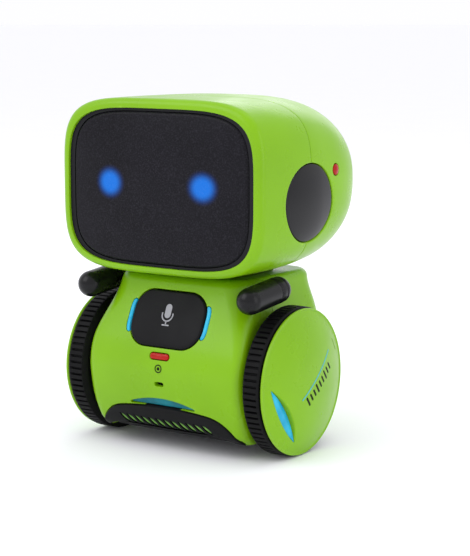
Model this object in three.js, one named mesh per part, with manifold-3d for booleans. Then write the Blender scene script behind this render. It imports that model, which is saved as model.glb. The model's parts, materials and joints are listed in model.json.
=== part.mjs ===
// A small desk robot: a wide rounded head with a dark screen, a bell-shaped body with two buttons,
// two short arms, two big driven wheels and a small roller at the back.
// Millimetres, +Z up. The robot faces -Y, so its own left side is +X.
// The origin is on the ground, under the middle of the robot's bounding box.
import * as THREE from 'three';
import { mergeVertices } from 'three/addons/utils/BufferGeometryUtils.js';
import Module from 'manifold-3d';

const wasm = await Module();
wasm.setup();

// ---- driving dimensions -------------------------------------------------------------------
const width = 100;
const depth = 86;
const height = 130;
const gap = 0.3;
const wall = 2;
const headWall = 2.2;

const head = {
  bottom: 66.3,
  halfWidth: 48,
  rimHalfWidth: 44.4,
  rimFillet: 2.6,
  rimRoundness: 4.3,
  sideRoundness: 2.4,
  backRoundness: 2.45,
  taperStart: -6,
  frontY: -41,
  seamY: -13.2,
};
head.halfHeight = (height - head.bottom) / 2;
head.middleZ = head.bottom + head.halfHeight;
head.backY = depth / 2;

// The screen is a shallow dome: its middle is the foremost point of the robot.
const screen = { halfWidth: 39.9, halfHeight: 28, middleZ: 97.7, edgeY: -40.5, thickness: 2, sideGap: 1.3, topGap: 0.7 };
screen.frontY = -depth / 2;
const eyes = { x: 20.6, z: 99.2, radius: 4.5 };
const ear = { y: -13.2, z: 93, radius: 14.2, faceX: 46.6, depth: 3.4 };
const sideLed = { y: 3.4, z: 103.9, radius: 2 };

const body = {
  bottom: 5.2,
  top: 64.6,
  topFillet: 3,
  halfWidth: 34.7,
  neckHalfWidth: 29.4,
  front: 41.5,
  neckFront: 30.7,
  back: 22,
  neckBack: 20,
  bulge: 1,
};
const neck = { y: -5, tubeRadius: 10, boreRadius: 7.5, top: 73 };

const wheel = { radius: 27.45, axleY: -13.2, innerX: 35.3, tyreOuterX: 43.1, capRadius: 27, capRimX: 43.5 };
const axle = { radius: 1.5, innerX: 23, outerX: 41.4 };
const hubLight = { from: [-22.6, 0.6], to: [-7.9, -20.6], swell: 4.2, backX: 44.4, faceX: 46.2 };
const gear = { module: 1, wheelTeeth: 24, pinionTeeth: 8, x: 26.2, width: 3, angle: 195 };

const arm = { x: 36, radius: 4.9, shoulderY: -17.1, shoulderZ: 61.1, length: 18, droop: 5.5 };

const chest = { y: -36, z: 49.5, lean: 20.5 };
const micButton = { width: 32, height: 21, corner: 8, proud: 0.4 };
const recButton = { width: 8.4, height: 2.4, drop: 14, proud: 0.35 };
const chestLight = { x: 17.6, width: 1.8, height: 12 };
const lens = { halfWidth: 14.2, bottom: 17, top: 20.1 };
const bumper = { halfWidth: 31, top: 17, bottom: 9.3, tip: 5.6, backY: -27, proud: 0.7 };
const slot = { count: 12, pitch: 3.4, length: 5.6, width: 1.2, z: 11, lean: 36 };

const battery = { radius: 5.25, length: 44.5, y: 13.8, firstZ: 19.2, pitch: 11.3, count: 3 };
const door = { halfWidth: 25, bottom: 13, top: 48 };
const roller = { radius: 4.6, width: 7.6, y: 14.6, pinRadius: 1.2 };
const speaker = { radius: 13.5, y: -15 };
const bodyScrew = { x: 21.5, z: 54, faceY: 21.3 };
const headScrew = { x: 24, z: 80, faceY: 34.8 };
const screwLength = 9.2;
const motor = { height: 12, depth: 10, length: 22 };

// ---- materials ----------------------------------------------------------------------------
const finish = (color, roughness, metalness = 0) =>
  new THREE.MeshStandardMaterial({ color, roughness, metalness });
const greenShell = finish(0x8fca1e, 0.28);
const blackSatin = finish(0x1b1b1d, 0.5);
const blackGloss = finish(0x0d0d10, 0.08);
const blackRubber = finish(0x19191a, 0.8);
const smokedLens = finish(0x29272d, 0.22);
const cyanLens = finish(0x22b4dc, 0.2);
const tealLens = finish(0x1590a4, 0.25);
const redLens = finish(0xb51d16, 0.3);
const blueLed = finish(0x0a78f0, 0.3);
const whitePlastic = finish(0xe8e6de, 0.45);
const steel = finish(0xa9abad, 0.3, 1);
const boardGreen = finish(0x1f5a38, 0.5);
const batteryWrap = finish(0x3b4a78, 0.35);

// ---- small helpers ------------------------------------------------------------------------
const degrees = THREE.MathUtils.degToRad;
const smooth = (value) => THREE.MathUtils.smoothstep(value, 0, 1);

function toSolid(geometry) {
  const bare = geometry.clone();
  bare.deleteAttribute('normal');
  bare.deleteAttribute('uv');
  const merged = mergeVertices(bare, 1e-5);
  const mesh = new wasm.Mesh({
    numProp: 3,
    vertProperties: new Float32Array(merged.attributes.position.array),
    triVerts: new Uint32Array(merged.index.array),
  });
  return new wasm.Manifold(mesh);
}

function toGeometry(solid) {
  const mesh = solid.getMesh();
  const geometry = new THREE.BufferGeometry();
  geometry.setAttribute('position', new THREE.BufferAttribute(new Float32Array(mesh.vertProperties), 3));
  geometry.setIndex(new THREE.BufferAttribute(new Uint32Array(mesh.triVerts), 1));
  return geometry;
}

const cut = (geometry, ...tools) =>
  toGeometry(tools.reduce((solid, tool) => solid.subtract(toSolid(tool)), toSolid(geometry)));
const join = (geometry, ...others) =>
  toGeometry(others.reduce((solid, other) => solid.add(toSolid(other)), toSolid(geometry)));
const common = (geometry, ...others) =>
  toGeometry(others.reduce((solid, other) => solid.intersect(toSolid(other)), toSolid(geometry)));

function boxBetween(low, high) {
  const size = high.map((value, axis) => value - low[axis]);
  const middle = high.map((value, axis) => (value + low[axis]) / 2);
  return new THREE.BoxGeometry(...size).translate(...middle);
}

// A cylinder along one of the axes, from start to end on that axis, at the other two coordinates.
function rod(axis, radius, start, end, [first, second], sides = 20) {
  const geometry = new THREE.CylinderGeometry(radius, radius, end - start, sides);
  const middle = (start + end) / 2;
  if (axis === 'x') return geometry.rotateZ(-Math.PI / 2).translate(middle, first, second);
  if (axis === 'y') return geometry.translate(first, middle, second);
  return geometry.rotateX(Math.PI / 2).translate(first, second, middle);
}

// A closed profile of [radius, distance] points turned about the X axis at the given Y and Z.
function turned(profile, y, z, sides = 40) {
  const points = profile.map(([radius, along]) => new THREE.Vector2(radius, along));
  return new THREE.LatheGeometry(points, sides).rotateZ(-Math.PI / 2).translate(0, y, z);
}

// A closed solid through rings of equal length, which run anticlockwise about the way they are stacked.
function loft(rings) {
  const size = rings[0].length;
  const points = rings.flat();
  const triangles = [];
  for (let ring = 0; ring + 1 < rings.length; ring += 1) {
    for (let i = 0; i < size; i += 1) {
      const a = ring * size + i;
      const b = ring * size + ((i + 1) % size);
      triangles.push(a, b, b + size, a, b + size, a + size);
    }
  }
  const centre = (ring) => ring.reduce((sum, p) => sum.add(p), new THREE.Vector3()).divideScalar(size);
  const first = points.push(centre(rings[0])) - 1;
  const last = points.push(centre(rings[rings.length - 1])) - 1;
  const lastRing = (rings.length - 1) * size;
  for (let i = 0; i < size; i += 1) {
    const next = (i + 1) % size;
    triangles.push(first, next, i, last, lastRing + i, lastRing + next);
  }
  const geometry = new THREE.BufferGeometry().setFromPoints(points);
  geometry.setIndex(triangles);
  return geometry;
}

function roundedRectangle(wide, high, corner) {
  const x = wide / 2;
  const y = high / 2;
  const shape = new THREE.Shape();
  shape.moveTo(-x + corner, -y);
  shape.lineTo(x - corner, -y);
  shape.absarc(x - corner, -y + corner, corner, -Math.PI / 2, 0);
  shape.lineTo(x, y - corner);
  shape.absarc(x - corner, y - corner, corner, 0, Math.PI / 2);
  shape.lineTo(-x + corner, y);
  shape.absarc(-x + corner, y - corner, corner, Math.PI / 2, Math.PI);
  shape.lineTo(-x, -y + corner);
  shape.absarc(-x + corner, -y + corner, corner, Math.PI, Math.PI * 1.5);
  return shape;
}

// A prism of the shape, from one height to another along the local Z axis.
const prism = (shape, low, high, curveSegments = 4) =>
  new THREE.ExtrudeGeometry(shape, { depth: high - low, bevelEnabled: false, curveSegments })
    .translate(0, 0, low);

// Local X, Y and Z onto the leaning chest: across, up the slope and straight out.
const leanAngle = degrees(chest.lean);
const chestUp = new THREE.Vector3(0, Math.sin(leanAngle), Math.cos(leanAngle));
const chestOut = new THREE.Vector3(0, -Math.cos(leanAngle), Math.sin(leanAngle));
const chestFrame = new THREE.Matrix4()
  .makeBasis(new THREE.Vector3(1, 0, 0), chestUp, chestOut)
  .setPosition(0, chest.y, chest.z);

// Local X, Y and Z onto an upright plane that faces the front: across, up and out.
const frontFrame = new THREE.Matrix4().makeBasis(
  new THREE.Vector3(1, 0, 0),
  new THREE.Vector3(0, 0, 1),
  new THREE.Vector3(0, -1, 0),
);

// Local X, Y and Z onto world Y, Z and X, for what is drawn in side view.
const sideFrame = new THREE.Matrix4().makeBasis(
  new THREE.Vector3(0, 1, 0),
  new THREE.Vector3(0, 0, 1),
  new THREE.Vector3(1, 0, 0),
);

const robot = new THREE.Group();

function addPiece(name, geometry, material) {
  const mesh = new THREE.Mesh(geometry, material);
  mesh.name = name;
  robot.add(mesh);
}

const sides = [['left', 1], ['right', -1]];

// ---- body outline -------------------------------------------------------------------------
// The body is a rounded rectangle in plan whose width, front and back change with height.
function bodySize(z) {
  const neckShare = smooth((z - 36) / 28);
  const under = Math.max(0, (20 - z) / 13);
  const frontShare = smooth((z - 30) / 36);
  const tuck = Math.max(0, (31 - z) / 24);
  const chin = Math.max(0, (9 - z) / 4);
  const lift = Math.max(0, z - (body.top - body.topFillet));
  return {
    halfWidth: body.halfWidth - (body.halfWidth - body.neckHalfWidth) * neckShare - 1.7 * under ** 2,
    front: body.front - (body.front - body.neckFront) * frontShare - 6 * tuck ** 1.7 - 3.5 * chin ** 1.5,
    back: body.back - (body.back - body.neckBack) * smooth((z - 50) / 12),
    frontCorner: 4.5 + 5 * smooth((z - 40) / 24),
    edge: body.topFillet - Math.sqrt(Math.max(0, body.topFillet ** 2 - lift ** 2)),
  };
}

function bodyRing(z, inset) {
  const size = bodySize(z);
  const shrink = inset + size.edge;
  const x = size.halfWidth - shrink;
  const front = size.front - body.bulge - shrink;
  const back = size.back - shrink;
  const frontCorner = Math.max(1, size.frontCorner - shrink);
  const backCorner = Math.max(1, 9 - shrink);
  const corners = [
    [x - backCorner, back - backCorner, backCorner, 0],
    [-x + backCorner, back - backCorner, backCorner, 90],
    [-x + frontCorner, -front + frontCorner, frontCorner, 180],
    [x - frontCorner, -front + frontCorner, frontCorner, 270],
  ];
  const ring = [];
  for (const [middleX, middleY, radius, start] of corners) {
    for (let step = 0; step <= 4; step += 1) {
      const angle = degrees(start + step * 22.5);
      ring.push(new THREE.Vector3(middleX + radius * Math.cos(angle), middleY + radius * Math.sin(angle), z));
    }
    if (start === 180) {
      for (const share of [-0.5, 0, 0.5]) {
        const bulge = body.bulge * (1 - share ** 2);
        ring.push(new THREE.Vector3(share * (x - frontCorner), -front - bulge, z));
      }
    }
  }
  return ring;
}

function bodyLoft(inset, low = body.bottom, high = body.top) {
  const heights = [low];
  for (let z = 9; z < 60; z += 8) if (z > low + 1 && z < high - 1) heights.push(z);
  for (const z of [61.6, 63.7]) if (z < high - 0.2) heights.push(z);
  heights.push(high);
  return loft(heights.map((z) => bodyRing(z, inset)));
}

// ---- head outline -------------------------------------------------------------------------
// The head is a stack of superellipses along Y: nearly square at the rim, rounder towards the back.
function headSection(y, inset) {
  const back = head.backY - inset;
  const backShare = y > 0 ? Math.min(1, y / back) : 0;
  const shrink = (1 - backShare ** head.backRoundness) ** (1 / head.backRoundness);
  const { taperStart, frontY } = head;
  const taper = y < taperStart ? ((taperStart - y) / (taperStart - frontY)) ** 1.6 : 0;
  const nose = Math.max(0, frontY + head.rimFillet - y);
  const fillet = head.rimFillet - Math.sqrt(Math.max(0, head.rimFillet ** 2 - nose ** 2));
  const roundness = head.rimRoundness + (head.sideRoundness - head.rimRoundness) * smooth((y + 30) / 60);
  return {
    halfWidth: (head.halfWidth - inset) * shrink - (head.halfWidth - head.rimHalfWidth) * taper - fillet,
    halfHeight: (head.halfHeight - inset) * shrink - fillet,
    roundness,
  };
}

function superellipse(halfWidth, halfHeight, roundness, steps) {
  const points = [];
  for (let step = 0; step < steps; step += 1) {
    const angle = (step / steps) * Math.PI * 2;
    const up = Math.cos(angle);
    const across = Math.sin(angle);
    const reach = (Math.abs(up / halfHeight) ** roundness + Math.abs(across / halfWidth) ** roundness)
      ** (-1 / roundness);
    points.push([across * reach, up * reach]);
  }
  return points;
}

const headRing = (y, { halfWidth, halfHeight, roundness, middleZ = head.middleZ }, steps = 32) =>
  superellipse(halfWidth, halfHeight, roundness, steps)
    .map(([x, z]) => new THREE.Vector3(x, y, middleZ + z));

const headLoft = (inset, stations) => loft(stations.map((y) => headRing(y, headSection(y, inset))));

const screenRing = (y, growX, growZ = growX) => headRing(y, {
  halfWidth: screen.halfWidth + growX,
  halfHeight: screen.halfHeight + growZ,
  roundness: head.rimRoundness,
  middleZ: screen.middleZ,
});

// A straight plug of the screen's section, for the hole that the screen sits in.
const plug = (growX, growZ, low, high) => loft([low, high].map((y) => screenRing(y, growX, growZ)));

// ---- shells -------------------------------------------------------------------------------
const micHole = frontPrism(roundedRectangle(4, 1.8, 0.85), 0, 26, 30, 44);
const lensShape = crescent(lens.halfWidth, lens.bottom, lens.top);
const neckHole = rod('z', neck.tubeRadius + gap, 58, 80, [0, neck.y], 24);

function frontPrism(shape, x, z, low, high) {
  return prism(shape, low, high).applyMatrix4(frontFrame).translate(x, 0, z);
}

// A crescent with a straight lower edge, half as wide as given, between two heights.
function crescent(halfWidth, low, high, grow = 0) {
  const shape = new THREE.Shape();
  const rise = high - low + grow;
  const radius = ((halfWidth + grow) ** 2 + rise ** 2) / (2 * rise);
  const half = Math.asin((halfWidth + grow) / radius);
  shape.absarc(0, high + grow - radius, radius, Math.PI / 2 - half, Math.PI / 2 + half);
  shape.lineTo(-halfWidth - grow, low - grow);
  shape.lineTo(halfWidth + grow, low - grow);
  return shape;
}

function chestPrism(shape, x, y, low, high) {
  return prism(shape, low, high).translate(x, y, 0).applyMatrix4(chestFrame);
}

// The bumper's outline in front view: an arch that runs down to a blunt tip at each end.
function bumperShape(grow) {
  const end = bumper.halfWidth + grow;
  const top = bumper.top + grow;
  const bottom = bumper.bottom - grow;
  const tip = bumper.tip - grow;
  const shape = new THREE.Shape();
  shape.moveTo(-end, tip);
  shape.quadraticCurveTo(-24, bottom - 0.8, -13, bottom);
  shape.lineTo(13, bottom);
  shape.quadraticCurveTo(24, bottom - 0.8, end, tip);
  shape.quadraticCurveTo(end + 0.6, tip + 3.6, end - 3, top - 5.7);
  shape.quadraticCurveTo(end - 6.5, top - 2.2, end - 14, top - 1.1);
  shape.quadraticCurveTo(8, top, 0, top);
  shape.quadraticCurveTo(-8, top, -end + 14, top - 1.1);
  shape.quadraticCurveTo(-end + 6.5, top - 2.2, -end + 3, top - 5.7);
  shape.quadraticCurveTo(-end - 0.6, tip + 3.6, -end, tip);
  return shape;
}

const bumperPrism = (grow) =>
  frontPrism(bumperShape(grow), 0, 0, -bumper.backY - grow, 50);

// A clearance hole and a counterbore for a screw whose head faces the back at the given Y.
const screwHole = (faceY, x, z) => [
  rod('y', 1.5, 10, faceY + 20, [x, z], 12),
  rod('y', 3.2, faceY - 1.8, faceY + 20, [x, z], 16),
];

function addBodyShells() {
  const shell = cut(
    bodyLoft(0),
    bodyLoft(wall, body.bottom - 1, body.top - wall),
    neckHole,
    micHole,
    frontPrism(crescent(lens.halfWidth, lens.bottom, lens.top, gap), 0, 0, 25, 50),
    bumperPrism(gap),
    boxBetween([1 - bumper.halfWidth, -60, 0], [bumper.halfWidth - 1, bumper.backY, bumper.bottom + 1]),
    chestPrism(roundedRectangle(micButton.width + 0.7, micButton.height + 0.7, micButton.corner), 0, 0, -8, 8),
    chestPrism(roundedRectangle(recButton.width + 0.6, recButton.height + 0.6, 1.3), 0, -recButton.drop, -8, 8),
    ...sides.flatMap(([, side]) => [
      chestPrism(roundedRectangle(chestLight.width + 2 * gap, chestLight.height + 2 * gap, 0.5),
        side * chestLight.x, 0, -8, 8),
      rod('x', axle.radius + gap, side > 0 ? 28 : -38, side > 0 ? 38 : -28, [wheel.axleY, wheel.radius], 16),
      rod('x', 2.5, side > 0 ? 24 : -33, side > 0 ? 33 : -24, [arm.shoulderY, arm.shoulderZ], 16),
    ]),
  );
  const bosses = [-1, 1].map((side) => rod('y', 4.6, 14, 21, [side * bodyScrew.x, bodyScrew.z], 16));
  const rearCuts = [
    boxBetween([-door.halfWidth - gap, 15, door.bottom - gap], [door.halfWidth + gap, 30, door.top + gap]),
    boxBetween([-4, 15, 54.6], [4, 30, 57.4]),
    ...[-1, 1].flatMap((side) => screwHole(bodyScrew.faceY, side * bodyScrew.x, bodyScrew.z)),
  ];
  addPiece('body_front_shell', common(shell, boxBetween([-60, -60, 0], [60, wheel.axleY - gap / 2, 80])), greenShell);
  const rear = common(shell, boxBetween([-60, wheel.axleY + gap / 2, 0], [60, 60, 80]));
  addPiece('body_rear_shell', cut(join(rear, ...bosses), ...rearCuts), greenShell);
}

function addHeadShells() {
  const rimStations = [head.frontY, head.frontY + 0.7, head.frontY + head.rimFillet];
  const midStations = [-28, head.seamY];
  const backStations = [2, 14, 24, 32, 38, 41.5, 42.97];
  const outer = headLoft(0, [...rimStations, ...midStations, ...backStations]);
  const cavityEnd = head.backY - headWall - 0.1;
  const cavity = headLoft(headWall, [-36.4, -24, head.seamY, 2, 14, 24, 32, 37.5, cavityEnd]);
  const earHoles = sides.map(([, side]) => {
    const ends = side > 0 ? [40, 60] : [-60, -40];
    return rod('x', ear.radius + gap, ...ends, [ear.y, ear.z], 24);
  });
  const ledHoles = sides.map(([, side]) => {
    const ends = side > 0 ? [40, 60] : [-60, -40];
    return rod('x', sideLed.radius + gap, ...ends, [sideLed.y, sideLed.z], 12);
  });
  const shell = cut(
    outer,
    cavity,
    plug(screen.sideGap, screen.topGap, -44, screen.edgeY + screen.thickness + 2 * gap),
    plug(-3, -3, -42, -35),
    rod('z', neck.tubeRadius + 2, 60, 80, [0, neck.y], 28),
    ...earHoles,
    ...ledHoles,
  );
  addPiece('head_front_shell', common(shell, boxBetween([-60, -60, 60], [60, head.seamY - gap / 2, 140])), greenShell);
  const rear = common(shell, boxBetween([-60, head.seamY + gap / 2, 60], [60, 60, 140]));
  const bosses = [-1, 1].map((side) =>
    common(outer, rod('y', 4.6, 26, 50, [side * headScrew.x, headScrew.z], 16)));
  const screwHoles = [-1, 1].flatMap((side) => screwHole(headScrew.faceY, side * headScrew.x, headScrew.z));
  addPiece('head_rear_shell', cut(join(rear, ...bosses), ...screwHoles), greenShell);
}

// ---- head contents ------------------------------------------------------------------------
function addHeadPieces() {
  const back = screen.edgeY + screen.thickness;
  const windowRings = [[screen.frontY, -26], [screen.frontY + 0.7, -12], [screen.edgeY, -1.2], [screen.edgeY + 1, 0],
    [back, 0]].map(([y, grow]) => screenRing(y, grow));
  addPiece('screen_window', loft(windowRings), smokedLens);
  addPiece('led_board', boxBetween([-32, -35.4, 84], [32, -33.8, 114]), boardGreen);
  for (const [name, side] of sides) {
    const [inner, outer] = [ear.faceX - ear.depth, ear.faceX];
    addPiece(`eye_led_${name}`, rod('y', eyes.radius, back + gap, -35.7, [side * eyes.x, eyes.z]), blueLed);
    const profile = [[0, inner], [ear.radius, inner], [ear.radius, outer - 0.9], [ear.radius - 0.7, outer - 0.2],
      [ear.radius - 3, outer], [0, outer]];
    const disc = turned(profile, 0, 0, 24);
    addPiece(`ear_disc_${name}`, (side > 0 ? disc : disc.rotateZ(Math.PI)).translate(0, ear.y, ear.z), blackGloss);
    const lamp = [[0, -3.4], [sideLed.radius, -3.4], [sideLed.radius, 0], [sideLed.radius * 0.7, 0.8], [0, 1.1]];
    const led = turned(lamp, 0, 0, 12);
    led.rotateZ(side > 0 ? 0 : Math.PI).translate(side * 47.3, sideLed.y, sideLed.z);
    addPiece(`side_led_${name}`, led, redLens);
    addPiece(`head_screw_${name}`, screw([side * headScrew.x, headScrew.faceY, headScrew.z]), steel);
  }
  const collar = turnedUp([[neck.tubeRadius + gap, 69.4], [15, 69.4], [15, 71.4], [neck.tubeRadius + gap, 71.4]]);
  addPiece('neck_collar', collar, blackSatin);
}

// A closed profile of [radius, height] points turned about the neck's upright axis.
function turnedUp(profile, x = 0, y = neck.y, segments = 24) {
  const points = [...profile, profile[0]].map(([radius, z]) => new THREE.Vector2(radius, z));
  return new THREE.LatheGeometry(points, segments).rotateX(Math.PI / 2).translate(x, y, 0);
}

// A pan-head screw that points to the front, with its head's face at the given place.
function screw([x, y, z]) {
  const profile = [[0, 0], [2.4, 0], [2.8, 0.7], [2.8, 1.5], [1.1, 1.5], [1.1, screwLength - 1.2], [0, screwLength]];
  const points = profile.map(([radius, along]) => new THREE.Vector2(radius, along));
  const blank = new THREE.LatheGeometry(points, 12).rotateX(Math.PI);
  const slots = [0, Math.PI / 2].map((angle) =>
    new THREE.BoxGeometry(0.7, 1.6, 3.2).rotateY(angle));
  return cut(blank, ...slots).translate(x, y, z);
}

// ---- body contents ------------------------------------------------------------------------
function addChest() {
  const skin = (proud, deep) => cut(bodyLoft(-proud, 8), bodyLoft(deep, 7, body.top - 3));
  const micPlate = common(
    skin(micButton.proud, 1.7),
    chestPrism(roundedRectangle(micButton.width, micButton.height, micButton.corner), 0, 0, -8, 8),
  );
  const stem = rod('z', 2.5, -3.5, -1, [0, 0], 12).applyMatrix4(chestFrame);
  addPiece('mic_button', join(micPlate, stem), blackSatin);
  const pill = common(
    skin(recButton.proud, 1.7),
    chestPrism(roundedRectangle(recButton.width, recButton.height, 1.15), 0, -recButton.drop, -8, 8),
  );
  const pin = rod('z', 0.9, -3.6, -1, [0, -recButton.drop], 10).applyMatrix4(chestFrame);
  addPiece('rec_button', join(pill, pin), redLens);
  for (const [name, side] of sides) {
    const strip = chestPrism(roundedRectangle(chestLight.width, chestLight.height, 0.5), side * chestLight.x, 0, -8, 8);
    const clear = chestPrism(roundedRectangle(micButton.width + 0.7, micButton.height + 0.7, micButton.corner), 0, 0, -9, 9);
    addPiece(`chest_light_${name}`, cut(common(skin(0.15, 1.7), strip), clear), cyanLens);
  }
  addPiece('front_light_lens', common(skin(0.1, 1.7), frontPrism(lensShape, 0, 0, 25, 50)), tealLens);
  addPiece('microphone', rod('y', 3, -38.2, -35.8, [0, 26], 16), steel);
  const board = new THREE.BoxGeometry(40, 27, 1.6).translate(0, -3.2, -8);
  const micSwitch = new THREE.BoxGeometry(6, 6, 2.6).translate(0, 0, -6);
  const recSwitch = new THREE.BoxGeometry(4, 4, 2.6).translate(0, -recButton.drop, -6);
  addPiece('button_board', join(board, micSwitch, recSwitch).applyMatrix4(chestFrame), boardGreen);
}

function addBumper() {
  const skin = cut(bodyLoft(-bumper.proud, 5.4, 30), bodyLoft(1.4, 4, 31));
  const band = common(skin, bumperPrism(0));
  const slots = [];
  for (let index = 0; index < slot.count; index += 1) {
    const x = (index - (slot.count - 1) / 2) * slot.pitch;
    slots.push(new THREE.BoxGeometry(slot.length, 30, slot.width).rotateY(degrees(slot.lean)).translate(x, -45, slot.z));
  }
  addPiece('bumper_band', cut(band, ...slots), blackSatin);
  const strip = cut(bodyLoft(1.7, 7.5, 16), bodyLoft(3, 6, 31), bodyBlock(-25));
  addPiece('bumper_insert', common(strip, boxBetween([-22, -60, 9], [22, -25, 15])), greenShell);
}

// Everything behind the given Y.
const bodyBlock = (y) => boxBetween([-60, y, 0], [60, 60, 80]);

function addBase() {
  const outline = loft([body.bottom, body.bottom + 1.8].map((z) => bodyRing(z, wall + gap + 0.6)));
  const grille = [[0, 0]];
  for (let hole = 0; hole < 6; hole += 1) {
    grille.push([6 * Math.cos(hole * degrees(60)), 6 * Math.sin(hole * degrees(60))]);
  }
  const plate = cut(
    outline,
    boxBetween([-roller.width / 2 - 0.6, 9.4, 0], [roller.width / 2 + 0.6, 30, 12]),
    ...grille.map(([x, y]) => rod('z', 1.3, 0, 12, [x, speaker.y + y], 8)),
  );
  const ears = sides.map(([, side]) => {
    const inner = roller.width / 2 + 0.6;
    const reach = side > 0 ? [inner, inner + 1.8] : [-inner - 1.8, -inner];
    return boxBetween([reach[0], roller.y - 3.2, 2.6], [reach[1], roller.y + 2.6, body.bottom + 1]);
  });
  const pinBore = rod('x', roller.pinRadius + 0.25, -8, 8, [roller.y, roller.radius], 12);
  addPiece('base_plate', cut(join(plate, ...ears), pinBore), blackSatin);
  const drum = new THREE.CylinderGeometry(roller.radius, roller.radius, roller.width, 28).rotateZ(Math.PI / 2);
  const pin = new THREE.CylinderGeometry(roller.pinRadius, roller.pinRadius, roller.width + 4.2, 12)
    .rotateZ(Math.PI / 2);
  addPiece('rear_roller', join(drum, pin).translate(0, roller.y, roller.radius), blackRubber);
  const cone = [[0, 9.4], [speaker.radius, 9.4], [speaker.radius, 11], [9, 12.6], [9, 15.4], [0, 15.4]];
  addPiece('speaker', turnedUp(cone, 0, speaker.y, 20), blackSatin);
}

function addPower() {
  const tray = { x: 25.4, front: 6, back: 19.4, bottom: 12.4, top: 48.4 };
  const hollow = cut(
    boxBetween([-tray.x, tray.front, tray.bottom], [tray.x, tray.back, tray.top]),
    boxBetween([-tray.x + 1.4, tray.front + 1.4, tray.bottom + 1], [tray.x - 1.4, 30, tray.top - 1]),
  );
  addPiece('battery_tray', hollow, blackSatin);
  for (let cell = 0; cell < battery.count; cell += 1) {
    const z = battery.firstZ + cell * battery.pitch;
    const half = battery.length / 2;
    const profile = [[0, -half], [battery.radius, -half], [battery.radius, half - 1.2], [1.9, half - 1.2],
      [1.9, half], [0, half]];
    const can = turned(profile, 0, 0, 20).rotateZ(cell % 2 ? Math.PI : 0);
    addPiece(`battery_${cell + 1}`, can.translate(0, battery.y, z), batteryWrap);
  }
  const middle = (door.bottom + door.top) / 2;
  const lid = cut(
    boxBetween([-door.halfWidth, 20, door.bottom], [door.halfWidth, body.back, door.top]),
    ...[-1, 1].flatMap((side) => [0, 1, 2].map((rib) =>
      boxBetween([side * 16 - 4, 21.5, middle - 5 + rib * 4], [side * 16 + 4, 24, middle - 3.4 + rib * 4]))),
    rod('y', 3.1, 20.4, 30, [0, middle], 16),
    rod('y', 1.4, 10, 30, [0, middle], 12),
  );
  addPiece('battery_door', lid, greenShell);
  const shortScrew = [[0, 0], [2, 0], [2.5, 0.4], [2.5, 0.9], [1.1, 0.9], [1.1, 1.8], [0, 2]];
  const points = shortScrew.map(([radius, along]) => new THREE.Vector2(radius, along));
  addPiece('door_screw', new THREE.LatheGeometry(points, 12).rotateX(Math.PI).translate(0, 21.6, middle), steel);
  addPiece('main_board', boxBetween([-22, 2.4, 14], [22, 4, 56]), boardGreen);
  const knob = join(boxBetween([-3.6, 19.6, 55], [0.4, 22.2, 57]), boxBetween([-6, 16.6, 54], [2.6, 17.6, 58]),
    boxBetween([-2.6, 17, 55.2], [-0.6, 20, 56.8]));
  addPiece('power_switch', knob, blackSatin);
  for (const [name, side] of sides) {
    addPiece(`body_screw_${name}`, screw([side * bodyScrew.x, bodyScrew.faceY, bodyScrew.z]), steel);
  }
}

function addNeck() {
  const { tubeRadius, boreRadius, top } = neck;
  const tube = turnedUp([[boreRadius, 59], [tubeRadius + 2, 59], [tubeRadius + 2, 61.6], [tubeRadius, 61.6],
    [tubeRadius, top - 1.2], [tubeRadius + 1.6, top - 1.2], [tubeRadius + 1.6, top], [boreRadius, top]]);
  addPiece('neck_tube', tube, blackSatin);
  addPiece('neck_bearing', turnedUp([[12.5, 64.9], [22, 64.9], [22, 66], [12.5, 66]]), blackSatin);
}

// ---- wheels and drive ---------------------------------------------------------------------
// Straight-sided teeth: the tips and roots of one tooth for each pitch, tooth 0 at angle 0.
function gearShape(teeth) {
  const pitchRadius = (gear.module * teeth) / 2;
  const pitch = (Math.PI * 2) / teeth;
  const tip = pitchRadius + 0.75 * gear.module;
  const root = pitchRadius - 1.05 * gear.module;
  const shape = new THREE.Shape();
  for (let tooth = 0; tooth < teeth; tooth += 1) {
    for (const [share, radius] of [[-0.28, root], [-0.12, tip], [0.12, tip], [0.28, root]]) {
      const angle = (tooth + share) * pitch;
      const point = [radius * Math.cos(angle), radius * Math.sin(angle)];
      if (tooth === 0 && share === -0.28) shape.moveTo(...point);
      else shape.lineTo(...point);
    }
  }
  return shape;
}

const meshAngle = degrees(gear.angle);
const centreDistance = (gear.module * (gear.wheelTeeth + gear.pinionTeeth)) / 2;
const pinionY = wheel.axleY + centreDistance * Math.cos(meshAngle);
const pinionZ = wheel.radius + centreDistance * Math.sin(meshAngle);

function gearSolid(teeth, turn, bore, y, z) {
  const blank = prism(gearShape(teeth), 0, gear.width, 1).rotateZ(turn);
  const hole = rod('z', bore, -1, gear.width + 1, [0, 0], 12);
  return cut(blank, hole).applyMatrix4(sideFrame).translate(0, y, z);
}

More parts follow.
